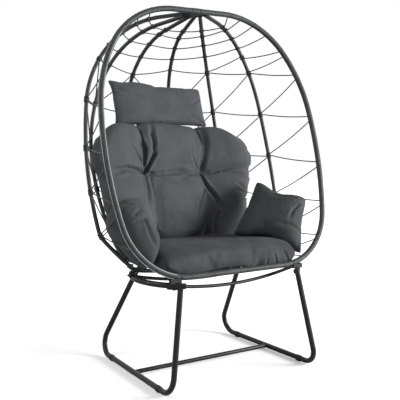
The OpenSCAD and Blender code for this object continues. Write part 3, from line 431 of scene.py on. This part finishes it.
def asMesh(name, source):
    scene.collection.objects.link(source)
    bpy.context.view_layer.update()
    mesh = bpy.data.meshes.new_from_object(source.evaluated_get(bpy.context.evaluated_depsgraph_get()))
    bpy.data.objects.remove(source)
    made = bpy.data.objects.new(name, mesh)
    scene.collection.objects.link(made)
    return made


def woundPiece(name, lines, finish, values):
    data = bpy.data.curves.new(name + "Path", "CURVE")
    data.dimensions = "3D"
    for line in lines:
        spline = data.splines.new("POLY")
        spline.points.add(len(line) - 1)
        for point, p in zip(spline.points, line):
            point.co = (*p, 1)
    source = bpy.data.objects.new(name + "Path", data)
    modifier = source.modifiers.new("winding", "NODES")
    modifier.node_group = winding
    setInputs(modifier, {**values, "Finish": finish})
    return asMesh(name, source)


def addPiece(piece, slotName, *nodes):
    if nodes:
        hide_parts(*nodes)
    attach(piece, "root")
    return piece


# Cushions are inflated by the cloth solver inside the space of their solids
cushionCloth = {"frames": 20, "pressure": 4.0, "cap": 26 * mm, "proud": 3 * mm, "slack": 0.035,
                "quality": 5, "mass": 0.3, "airDamping": 3.0, "stretch": 15, "shear": 5, "bend": 0.6,
                "pinCore": 0.012, "pinReach": 0.03, "pinEase": 0.6}
creaseForm = {"bank": 0.3, "bankAt": 2.1, "tuftDeep": 12 * mm, "tuftWide": 16 * mm,
              "ripples": ((16, 1.6 * mm), (45, 0.6 * mm))}
tuftPoints = [Vector((-0.153, 0.131, 0.803)), Vector((0.130, 0.132, 0.801))]
backCreases = [  # deep and wide in mm, then the line, which most often starts at a tuft
    (8, 12, [(0.130, 0.13, 0.801), (0.153, 0.154, 0.862), (0.164, 0.166, 0.917), (0.167, 0.188, 0.972),
             (0.170, 0.206, 1.02)]),
    (13, 8, [(-0.153, 0.131, 0.803), (-0.155, 0.153, 0.859), (-0.149, 0.170, 0.902), (-0.171, 0.179, 0.965)]),
    (11, 8, [(-0.150, 0.147, 0.81), (-0.111, 0.149, 0.880), (-0.103, 0.154, 0.919), (-0.105, 0.171, 0.963),
             (-0.086, 0.208, 1.02)]),
    (14, 9, [(-0.153, 0.131, 0.803), (-0.108, 0.138, 0.797), (-0.052, 0.139, 0.800), (0.020, 0.146, 0.806),
             (0.070, 0.134, 0.798), (0.130, 0.129, 0.801)]),
    (13, 9, [(0.130, 0.130, 0.801), (0.186, 0.128, 0.800), (0.255, 0.123, 0.812), (0.335, 0.104, 0.832)]),
    (9, 6, [(0.235, 0.115, 0.799), (0.311, 0.098, 0.786), (0.370, 0.09, 0.776)]),
    (9, 5, [(0.352, 0.064, 0.689), (0.286, 0.062, 0.715), (0.240, 0.067, 0.712)]),
    (9, 5, [(0.352, 0.064, 0.689), (0.314, 0.069, 0.732), (0.280, 0.078, 0.753)]),
    (8, 5, [(0.352, 0.063, 0.684), (0.289, 0.049, 0.679), (0.240, 0.055, 0.680)]),
    (15, 7, [(0.130, 0.127, 0.797), (0.143, 0.122, 0.748), (0.159, 0.104, 0.722), (0.179, 0.077, 0.687),
             (0.200, 0.057, 0.632)]),
    (6, 7, [(0.128, 0.111, 0.725), (0.088, 0.078, 0.677), (0.064, 0.060, 0.620)]),
    (6, 6, [(0.178, 0.058, 0.634), (0.164, 0.057, 0.589), (0.155, 0.061, 0.550)]),
    (14, 9, [(-0.153, 0.131, 0.803), (-0.198, 0.134, 0.814), (-0.248, 0.122, 0.826), (-0.330, 0.110, 0.809)]),
    (6, 6, [(-0.170, 0.139, 0.840), (-0.201, 0.137, 0.891), (-0.232, 0.135, 0.930)]),
    (8, 6, [(-0.153, 0.131, 0.803), (-0.133, 0.146, 0.833), (-0.080, 0.148, 0.912)]),
    (10, 8, [(-0.158, 0.125, 0.795), (-0.158, 0.110, 0.739), (-0.172, 0.078, 0.660)]),
    (5, 5, [(0.130, 0.13, 0.801), (0.100, 0.13, 0.850), (0.085, 0.13, 0.885)]),
]
armCreases = {
    "right": [(6, 6, [(0.400, -0.235, 0.665), (0.360, -0.240, 0.640), (0.335, -0.240, 0.600)]),
              (5, 6, [(0.395, -0.215, 0.690), (0.350, -0.150, 0.690), (0.320, -0.110, 0.700)]),
              (5, 7, [(0.380, -0.270, 0.560), (0.330, -0.260, 0.590), (0.280, -0.200, 0.580)])],
    "left": [(5, 7, [(-0.425, -0.210, 0.665), (-0.395, -0.235, 0.680), (-0.345, -0.200, 0.700)]),
             (5, 6, [(-0.425, -0.215, 0.640), (-0.385, -0.240, 0.650), (-0.340, -0.230, 0.660)]),
             (7, 8, [(-0.350, -0.250, 0.655), (-0.345, -0.260, 0.600), (-0.330, -0.260, 0.550)])],
}
seatCreases = [(3, 5, [(0.150, -0.34, 0.470), (0.158, -0.34, 0.490), (0.160, -0.33, 0.515)]),
               (3.5, 5, [(0.205, -0.34, 0.470), (0.203, -0.34, 0.492), (0.190, -0.33, 0.520)]),
               (3, 6, [(0.262, -0.34, 0.478), (0.255, -0.34, 0.500), (0.235, -0.32, 0.525)])]
headCreases = [(4, 8, [(-0.215, 0.28, 1.180), (-0.160, 0.28, 1.150), (-0.090, 0.27, 1.140)]),
               (4, 7, [(0.205, 0.26, 1.150), (0.160, 0.25, 1.125), (0.110, 0.25, 1.118)]),
               (3, 8, [(-0.200, 0.25, 1.040), (-0.140, 0.24, 1.065), (-0.060, 0.24, 1.07)]),
               (4, 6, [(0.215, 0.25, 1.035), (0.170, 0.24, 1.060), (0.120, 0.24, 1.080)])]
backLean = math.radians(17)
backFacing = (0, -math.cos(backLean), math.sin(backLean))
cushions = {  # pushes are (centre, reach, move) that settle a corner after the cloth is done
    "seatCushion": {"node": "seat_cushion", "voxel": 6 * mm, "shrink": 1.5 * mm, "fill": 0.7,
                    "facing": (0, -0.75, 0.66),
                    "finish": "seatFabric", "slot": "seat_fabric", "pins": [], "calm": 14,
                    "creases": seatCreases,
                    "pushes": [((0, 0.03, 0.540), 0.42, (0, 0, -0.017)),
                               ((-0.20, -0.33, 0.445), 0.22, (0, -0.004, -0.019)),
                               ((0.05, -0.33, 0.445), 0.20, (0, -0.004, -0.013)),
                               ((0.25, -0.33, 0.450), 0.16, (0, -0.003, -0.022)),
                               ((0.13, -0.33, 0.447), 0.12, (0, -0.003, -0.012)),
                               ((0.23, -0.33, 0.452), 0.12, (0, -0.002, -0.012)),
                               ((0.345, -0.33, 0.490), 0.11, (-0.022, 0, 0))]},
    "backCushion": {"node": "back_cushion", "voxel": 6 * mm, "shrink": 3 * mm, "fill": 0.65,
                    "facing": backFacing,
                    "finish": "backFabric", "slot": "back_fabric", "pins": tuftPoints, "calm": 3,
                    "creases": backCreases,
                    "pushes": [((-0.400, 0.17, 1.000), 0.15, (0.030, 0, -0.034)),
                               ((0.400, 0.17, 1.000), 0.16, (-0.024, 0, -0.038)),
                               ((0.400, 0.14, 0.900), 0.21, (0.017, -0.006, 0)),
                               ((-0.400, 0.14, 0.880), 0.21, (-0.022, -0.006, 0)),
                               ((-0.10, 0.22, 1.030), 0.30, (0, 0, 0.014)),
                               ((-0.385, 0.06, 0.660), 0.16, (-0.030, -0.010, -0.010)),
                               ((0.04, 0.08, 0.520), 0.36, (0, -0.006, -0.034)),
                               ((0.41, 0.11, 0.785), 0.15, (0.036, 0, 0)),
                               ((-0.06, 0.06, 0.550), 0.17, (0, 0.022, -0.004)),
                               ((0.10, 0.06, 0.550), 0.17, (0, 0.014, -0.004)),
                               ((-0.30, 0.20, 1.030), 0.15, (0, 0, 0.008))]},
    "headrestPillow": {"node": "headrest_pillow", "voxel": 4.5 * mm, "shrink": 1.5 * mm, "fill": 0.55,
                       "facing": (0, -0.96, 0.27),
                       "finish": "backFabric", "slot": "back_fabric", "pins": [], "calm": 5,
                       "creases": headCreases,
                       "pushes": [((-0.235, 0.32, 1.205), 0.06, (-0.006, 0, 0.008)),
                                  ((0, 0.27, 1.020), 0.34, (0, -0.004, -0.023)),
                                  ((0.225, 0.27, 1.015), 0.11, (0.010, 0, -0.008)),
                                  ((0.02, 0.31, 1.200), 0.22, (0, 0, 0.012)),
                                  ((-0.11, 0.31, 1.200), 0.13, (0, 0, 0.014)),
                                  ((-0.225, 0.29, 1.110), 0.09, (-0.015, 0, 0)),
                                  ((0.225, 0.29, 1.120), 0.09, (0.013, 0, 0))]},
    "leftArmPillow": {"node": "left_arm_pillow", "voxel": 4.5 * mm, "shrink": 2 * mm, "fill": 0.55,
                      "facing": (0.55, -0.80, 0.20),
                      "finish": "seatFabric", "slot": "seat_fabric", "pins": [], "calm": 6,
                      "creases": armCreases["left"],
                      "pushes": [((-0.185, -0.080, 0.580), 0.22, (-0.080, -0.045, -0.030)),
                                 ((-0.348, -0.001, 0.752), 0.16, (0.020, -0.035, -0.040)),
                                 ((-0.410, -0.090, 0.570), 0.24, (-0.066, 0.028, -0.026)),
                                 ((-0.345, -0.240, 0.500), 0.14, (-0.010, 0.008, -0.028))]},
    "rightArmPillow": {"node": "right_arm_pillow", "voxel": 4.5 * mm, "shrink": 2 * mm, "fill": 0.55,
                       "facing": (-0.45, -0.80, 0.40),
                       "finish": "seatFabric", "slot": "seat_fabric", "pins": [], "calm": 6,
                       "creases": armCreases["right"],
                       "pushes": [((0.440, -0.233, 0.694), 0.10, (0, 0, -0.006)),
                                  ((0.400, -0.115, 0.730), 0.11, (0, 0, -0.024)),
                                  ((0.356, -0.293, 0.496), 0.15, (0.008, 0, -0.032)),
                                  ((0.172, -0.087, 0.556), 0.14, (-0.022, -0.010, -0.016))]},
}


def mergedCopy(name, node):
    mesh = chair[node].data.copy()
    b = bmesh.new()
    b.from_mesh(mesh)
    bmesh.ops.remove_doubles(b, verts=b.verts, dist=0.02 * mm)
    bmesh.ops.recalc_face_normals(b, faces=b.faces)
    b.to_mesh(mesh)
    b.free()
    mesh.materials.clear()
    return bpy.data.objects.new(name, mesh)


def startShape(name, s):
    source = mergedCopy(name, s["node"])
    source.data.update()
    for v, normal in [(v, v.normal.copy()) for v in source.data.vertices]:
        v.co -= normal * s["shrink"]
    remesh = source.modifiers.new("voxels", "REMESH")
    remesh.mode, remesh.voxel_size = "VOXEL", s["voxel"]
    made = asMesh(name, source)
    b = bmesh.new()
    b.from_mesh(made.data)
    for _ in range(4):
        bmesh.ops.smooth_vert(b, verts=b.verts, factor=0.5, use_axis_x=True, use_axis_y=True, use_axis_z=True)
    b.to_mesh(made.data)
    b.free()
    return made


def addCloth(obj, s, c):
    pins = obj.vertex_groups.new(name="sewn")
    for v in obj.data.vertices:
        near = min(((v.co - p).length for p in s["pins"]), default=1.0)
        if near < c["pinReach"]:
            ease = max(0.0, near - c["pinCore"]) / (c["pinReach"] - c["pinCore"])
            pins.add([v.index], 1.0 - c["pinEase"] * ease, "REPLACE")
    cloth = obj.modifiers.new("cloth", "CLOTH")
    k = cloth.settings
    k.quality, k.mass, k.air_damping = c["quality"], c["mass"], c["airDamping"]
    k.tension_stiffness = k.compression_stiffness = c["stretch"]
    k.shear_stiffness, k.bending_stiffness = c["shear"], c["bend"]
    k.use_pressure, k.uniform_pressure_force = True, c["pressure"]
    k.shrink_min = k.shrink_max = -c["slack"]
    k.effector_weights.gravity = 0
    if s["pins"]:
        k.vertex_group_mass = "sewn"
    cloth.collision_settings.use_collision = False
    cloth.collision_settings.use_self_collision = False


def inflate(made, c):
    starts = {name: [v.co.copy() for v in obj.data.vertices] for name, obj in made.items()}
    for name, obj in made.items():
        addCloth(obj, cushions[name], c)
    for f in range(1, c["frames"] + 1):
        scene.frame_set(f)
    graph = bpy.context.evaluated_depsgraph_get()
    for name, obj in made.items():
        soft = bpy.data.meshes.new_from_object(obj.evaluated_get(graph))
        obj.modifiers.clear()
        old = obj.data
        for v, start in zip(soft.vertices, starts[name]):
            move = v.co - start
            if move.length > c["cap"]:
                v.co = start + move * (c["cap"] / move.length)
        obj.data = soft
        bpy.data.meshes.remove(old)
    scene.frame_set(1)


def solidTree(node):
    source = mergedCopy(node + "Form", node)
    rounding = source.modifiers.new("rounding", "SUBSURF")
    rounding.levels = rounding.render_levels = 1
    form = asMesh(node + "Form", source)
    b = bmesh.new()
    b.from_mesh(form.data)
    bmesh.ops.recalc_face_normals(b, faces=b.faces)
    tree = BVHTree.FromBMesh(b)
    b.free()
    bpy.data.objects.remove(form)
    return tree


def distanceTo(points, line):
    best = np.full(len(points), 1e9)
    share = np.zeros(len(points))
    line = np.array(line)
    lengths = np.linalg.norm(line[1:] - line[:-1], axis=1)
    done = 0.0
    for a, b, long in zip(line, line[1:], lengths):
        d = b - a
        t = np.clip((points - a) @ d / max(d @ d, 1e-12), 0, 1)
        gap = np.linalg.norm(points - a - t[:, None] * d, axis=1)
        nearer = gap < best
        best = np.where(nearer, gap, best)
        share = np.where(nearer, (done + long * t) / lengths.sum(), share)
        done += long
    return best, share


def carve(points, normals, s, c):
    facing = np.array(s["facing"])
    flat = points - np.outer(points @ facing, facing)
    front = np.clip((normals @ facing - 0.02) / 0.3, 0, 1)
    move = np.zeros(len(points))
    for deep, wide, line in s["creases"]:
        line = np.array(line)
        gap, share = distanceTo(flat, line - np.outer(line @ facing, facing))
        deep, wide = deep * mm, wide * mm * (0.75 + 0.5 * share)
        fade = np.clip(np.minimum(share * 12 + 0.55, (1 - share) * 3.2), 0, 1)
        move -= deep * fade * np.exp(-(gap / wide) ** 2)
        move += c["bank"] * deep * fade * np.exp(-((gap - c["bankAt"] * wide) / wide) ** 2)
    for pin in s["pins"]:
        p = np.array(pin) - facing * (np.array(pin) @ facing)
        gap = np.linalg.norm(flat - p, axis=1)
        move -= c["tuftDeep"] * np.exp(-(gap / c["tuftWide"]) ** 2)
    return points + normals * (move * front)[:, None]


def finishCushion(name, obj, s, c):
    tree = solidTree(s["node"])
    for v in obj.data.vertices:
        spot, normal, _, _ = tree.find_nearest(v.co)
        out = (v.co - spot).dot(normal)
        if out > c["proud"]:
            v.co = v.co - normal * (out - c["proud"])
    calm = obj.modifiers.new("calm", "SMOOTH")
    calm.factor, calm.iterations = 0.5, s["calm"]
    finer = obj.modifiers.new("finer", "SUBSURF")
    finer.levels = finer.render_levels = 1
    scene.collection.objects.unlink(obj)
    obj = asMesh(name, obj)
    obj.data.update()
    count = len(obj.data.vertices)
    points, normals = np.empty(count * 3), np.empty(count * 3)
    obj.data.vertices.foreach_get("co", points)
    obj.data.vertices.foreach_get("normal", normals)
    points, normals = points.reshape(-1, 3), normals.reshape(-1, 3)
    points = carve(points, normals, s, creaseForm)
    for centre, reach, move in s["pushes"]:
        near = np.clip(1 - np.linalg.norm(points - np.array(centre), axis=1) / reach, 0, 1)
        points += np.outer(near * near * (3 - 2 * near), move)
    ripple = np.array([sum(noise.noise(Vector(p) * fine) * deep for fine, deep in creaseForm["ripples"])
                       for p in points])
    points += normals * ripple[:, None]
    obj.data.vertices.foreach_set("co", points.ravel())
    obj.data.update()
    obj.data.materials.append(bpy.data.materials[s["finish"]])
    obj.data.polygons.foreach_set("use_smooth", [True] * len(obj.data.polygons))
    addPiece(obj, s["slot"], s["node"])
    return obj


pads = {name: startShape(name, s) for name, s in cushions.items()}
print("stage: cushion blanks", {k: len(o.data.vertices) for k, o in pads.items()})
inflate(pads, cushionCloth)
print("stage: cushions inflated")
for name in list(pads):
    pads[name] = finishCushion(name, pads[name], cushions[name], cushionCloth)
print("stage: cushions finished")


# Flat strand wound on the hoop and the ribs
hoopWinding = {"Outer radius": 11.4 * mm, "Pitch": 6.4 * mm, "Groove depth": 0.8 * mm,
               "Strand squareness": 5.0, "Strands": 1.0, "Ring spacing": 1.3 * mm, "Sides": 18,
               "Unevenness": 0.5 * mm, "Seed": 3.0}
ribWinding = {"Outer radius": 8.5 * mm, "Pitch": 6.0 * mm, "Groove depth": 0.9 * mm,
              "Strand squareness": 4.0, "Strands": 1.0, "Ring spacing": 1.4 * mm, "Sides": 14,
              "Unevenness": 0.9 * mm, "Seed": 7.0}
hoopLong = pathLength(hoopPath)
footStart = hoopLong - 270
for side, k in (("left", 0), ("right", 7)):
    upper = woundPiece(side + "HoopWinding", [supportLine(k, 1, footStart - 1)], hoopWicker, hoopWinding)
    addPiece(upper, "hoop_wicker", side + "_hoop_wrap")
    lower = woundPiece(side + "FootWinding", [supportLine(k, footStart + 1, hoopLong - 1)], hoopWicker,
                       {**hoopWinding, "Seed": 5.0})
    addPiece(lower, "hoop_wicker", side + "_foot_wrap")
endBands = {"crown": (1.5, 40), "seam": (footStart - 24, footStart - 3)}
bandStrand = {**hoopWinding, "Outer radius": 12.3 * mm, "Groove depth": 1.0 * mm, "Seed": 9.0}
bandLines = [supportLine(k, *endBands[place]) for k, place in ((0, "crown"), (0, "seam"), (7, "seam"))]
addPiece(woundPiece("hoopEndBands", bandLines, hoopWicker, bandStrand), "hoop_wicker")

# Two pale strands run along the left half of the hoop, on its front: a painted highlight, standing in for the
# glints on the edges of the wound strand
glintRun = {"from": 420, "to": 1495, "turns": (64, 166), "off": 11.3, "step": 7.0}
glintStrand = {**hoopWinding, "Outer radius": 1.5 * mm, "Groove depth": 0.3 * mm, "Pitch": 3.2 * mm,
              "Sides": 8, "Unevenness": 0.3 * mm, "Seed": 11.0}


def besideHoop(turn, s):
    span = s["to"] - s["from"]
    count, a = int(span / s["step"]), math.radians(turn)
    front = Vector((0, -1, 0))
    line = []
    for i in range(count + 1):
        p, d = onSupport(0, s["from"] + span * i / count)
        line.append(inChair(p + (front.cross(d) * math.cos(a) + front * math.sin(a)) * s["off"]))
    return line


glintLines = [besideHoop(t, glintRun) for t in glintRun["turns"]]
addPiece(woundPiece("hoopEdgeGlints", glintLines, paleStrand, glintStrand), "hoop_wicker")
hubReach = 73  # mm of each rib's end that lies bare, in a hub
for k in range(1, 7):
    long = pathLength(supportPaths[k])
    rib = woundPiece("ribWinding%d" % k, [supportLine(k, hubReach, long - hubReach)], ribWicker,
                     {**ribWinding, "Seed": 7.0 + k})
    addPiece(rib, "rib_wicker", "rib_wrap_%d" % k)
print("stage: windings")


# Cord laced from support to support, with turns round each
lacing = {
    "crown": [[228, 214, 220, 216, 216, 218, 220, 151], [290, 268, 273, 262, 280, 268, 248, 215],
              [350, 336, 341, 339, 352, 335, 315, 281], [418, 412, 413, 416, 417, 405, 376, 354]],
    "upper": [[568, 480, 482, 506, 477, 495, 512, 569], [744, 664, 672, 690, 680, 692, 715, 767],
              [921, 866, 872, 884, 880, 890, 913, 975]],
    "lower": [[1111, 1048, 1056, 1070, 1068, 1078, 1100, 1151],
              [1298, 1231, 1238, 1250, 1250, 1256, 1275, 1309],
              [1426, 1402, 1400, 1400, 1400, 1402, 1410, 1439]],
    "seat": [[1560, 1545, 1560, 1570, 1570, 1560, 1545, 1560],
             [1665, 1665, 1710, 1720, 1720, 1710, 1665, 1665]],
    "shoulderTies": [[5, 487, 6, 424], [6, 434, 7, 449], [6, 504, 7, 477]],
    "leftPanels": [[0, 1, 0, 0], [1, 2, 0, 0], [3, 2, 0, 1], [3, 4, 1, 0]],
    "rightPanels": [[5, 4, 0, 1], [6, 5, 0, 0], [7, 6, 0, 0]],
    "pairGap": {0: 42, 7: 25}, "rise": 8, "step": 5, "sag": 0.022,
    "hoopTurns": 1.05, "hoopSunk": 3.7, "ribTurns": 1.7, "ribSunk": 1.3, "turnPoints": 14,
}
cordTwist = {"Outer radius": 2.5 * mm, "Pitch": 16 * mm, "Groove depth": 0.4 * mm,
             "Strand squareness": 3.0, "Strands": 2.0, "Ring spacing": 2.6 * mm, "Sides": 8,
             "Unevenness": 0.25 * mm, "Seed": 1.0}
ribTwist = {**cordTwist, "Outer radius": 2.3 * mm}
hoopTurns, ribTurns = [], []


def loopRadius(k):
    return ((basket["hoopWide"] if k in (0, 7) else basket["ribWide"]) + basket["cordWide"]) / 2 + 0.5


def sideToward(k, t, toward):
    p, d = onSupport(k, t)
    u = toward - p
    return p, d, (u - d * u.dot(d)).normalized()


def leavePoint(k, t, toward):
    p, _, u = sideToward(k, t, toward)
    return p + u * loopRadius(k)


def turnsRound(k, t, toward):
    p, d, u = sideToward(k, t, toward)
    w = d.cross(u)
    onHoop = k in (0, 7)
    pitch, turns = basket["cordWide"] * 0.95, lacing["hoopTurns" if onHoop else "ribTurns"]
    around = loopRadius(k) - lacing["hoopSunk" if onHoop else "ribSunk"]
    count = int(turns * lacing["turnPoints"])
    line = []
    for i in range(count + 1):
        a = 2 * math.pi * turns * i / count
        line.append(inChair(p + (u * math.cos(a) + w * math.sin(a)) * around
                            + d * pitch * (i / count - 0.5) * turns))
    (hoopTurns if onHoop else ribTurns).append(line)


def stretched(k, t, m, s):
    a = inChair(leavePoint(k, t, onSupport(m, s)[0]))
    b = inChair(leavePoint(m, s, onSupport(k, t)[0]))
    drop = lacing["sag"] * (b - a).length
    return [a.lerp(b, i / 10) - Vector((0, 0, drop * 4 * (i / 10) * (1 - i / 10))) for i in range(11)]


def laceRows(rows):
    lines = []
    for row in rows:
        for k in range(8):
            other = k + 1 if k < 7 else 6
            turnsRound(k, row[k], onSupport(other, row[other])[0])
            if k < 7:
                lines.append(stretched(k, row[k], k + 1, row[k + 1]))
    return lines


def laceTie(k, t, m, s):
    turnsRound(k, t, onSupport(m, s)[0])
    turnsRound(m, s, onSupport(k, t)[0])
    return [stretched(k, t, m, s)]


def lacePanels(panels):
    rows = lacing["upper"] + lacing["lower"]
    lines = []
    for high, low, highStep, lowStep in panels:
        for i in range(len(rows) - 1):
            rise = lacing["pairGap"].get(high, lacing["rise"] + highStep * lacing["step"])
            lines += laceTie(high, rows[i][high] + rise, low,
                             rows[i + 1][low] - lacing["rise"] - lowStep * lacing["step"])
    return lines


laceSets = {
    "crownLacing": (laceRows(lacing["crown"]), "crown_lacing"),
    "upperLacing": (laceRows(lacing["upper"]), "back_lacing_upper"),
    "lowerLacing": (laceRows(lacing["lower"]), "back_lacing_lower"),
    "seatLacing": (laceRows(lacing["seat"]), "seat_lacing"),
    "leftDiagonals": (lacePanels(lacing["leftPanels"]), "left_diagonal_lacing"),
    "rightDiagonals": (lacePanels(lacing["rightPanels"])
                       + [l for t in lacing["shoulderTies"] for l in laceTie(*t)], "right_diagonal_lacing"),
}
for name, (lines, node) in laceSets.items():
    addPiece(woundPiece(name, lines, lacingCord, cordTwist), "lacing_cord", node)
addPiece(woundPiece("turnsOnHoop", hoopTurns, hoopWicker, cordTwist), "hoop_wicker")
addPiece(woundPiece("turnsOnRibs", ribTurns, ribWicker, ribTwist), "rib_wicker")
print("stage: lacing")


# Tuft buttons and headrest tapes
tufts = {"wide": 9 * mm, "high": 3.4 * mm, "sunk": 1 * mm, "rings": 6, "sides": 20}


def tuftButtons(s):
    b = bmesh.new()
    tree = BVHTree.FromObject(pads["backCushion"], bpy.context.evaluated_depsgraph_get())
    toward = Vector(backFacing)
    high, wide = s["rings"], s["sides"]
    for p in tuftPoints:
        at = tree.ray_cast(p + toward * 0.15, -toward)[0] or p
        u = toward.orthogonal().normalized()
        w = toward.cross(u)
        rings = []
        for i in range(high):
            a = math.pi / 2 * i / high
            r, h = s["wide"] / 2 * math.cos(a), s["high"] * math.sin(a)
            rings.append([b.verts.new(at + toward * h + (u * math.cos(t) + w * math.sin(t)) * r)
                          for t in [2 * math.pi * j / wide for j in range(wide)]])
        top, base = b.verts.new(at + toward * s["high"]), b.verts.new(at - toward * s["sunk"])
        for j in range(wide):
            beside = (j + 1) % wide
            for lower, upper in zip(rings, rings[1:]):
                b.faces.new([lower[j], lower[beside], upper[beside], upper[j]])
            b.faces.new([rings[-1][j], rings[-1][beside], top])
            b.faces.new([rings[0][beside], rings[0][j], base])
    bmesh.ops.recalc_face_normals(b, faces=b.faces)
    mesh = bpy.data.meshes.new("tuftButtons")
    b.to_mesh(mesh)
    b.free()
    mesh.polygons.foreach_set("use_smooth", [True] * len(mesh.polygons))
    mesh.materials.append(backFabric)
    made = bpy.data.objects.new("tuftButtons", mesh)
    scene.collection.objects.link(made)
    return made


addPiece(tuftButtons(tufts), "tuft_fabric", "back_tufts")
tapes = mergedCopy("headrestTapes", "headrest_ties")
scene.collection.objects.link(tapes)
tapes.data.materials.append(tapeFabric)
addPiece(tapes, "back_fabric", "headrest_ties")
print("stage: sewn details")
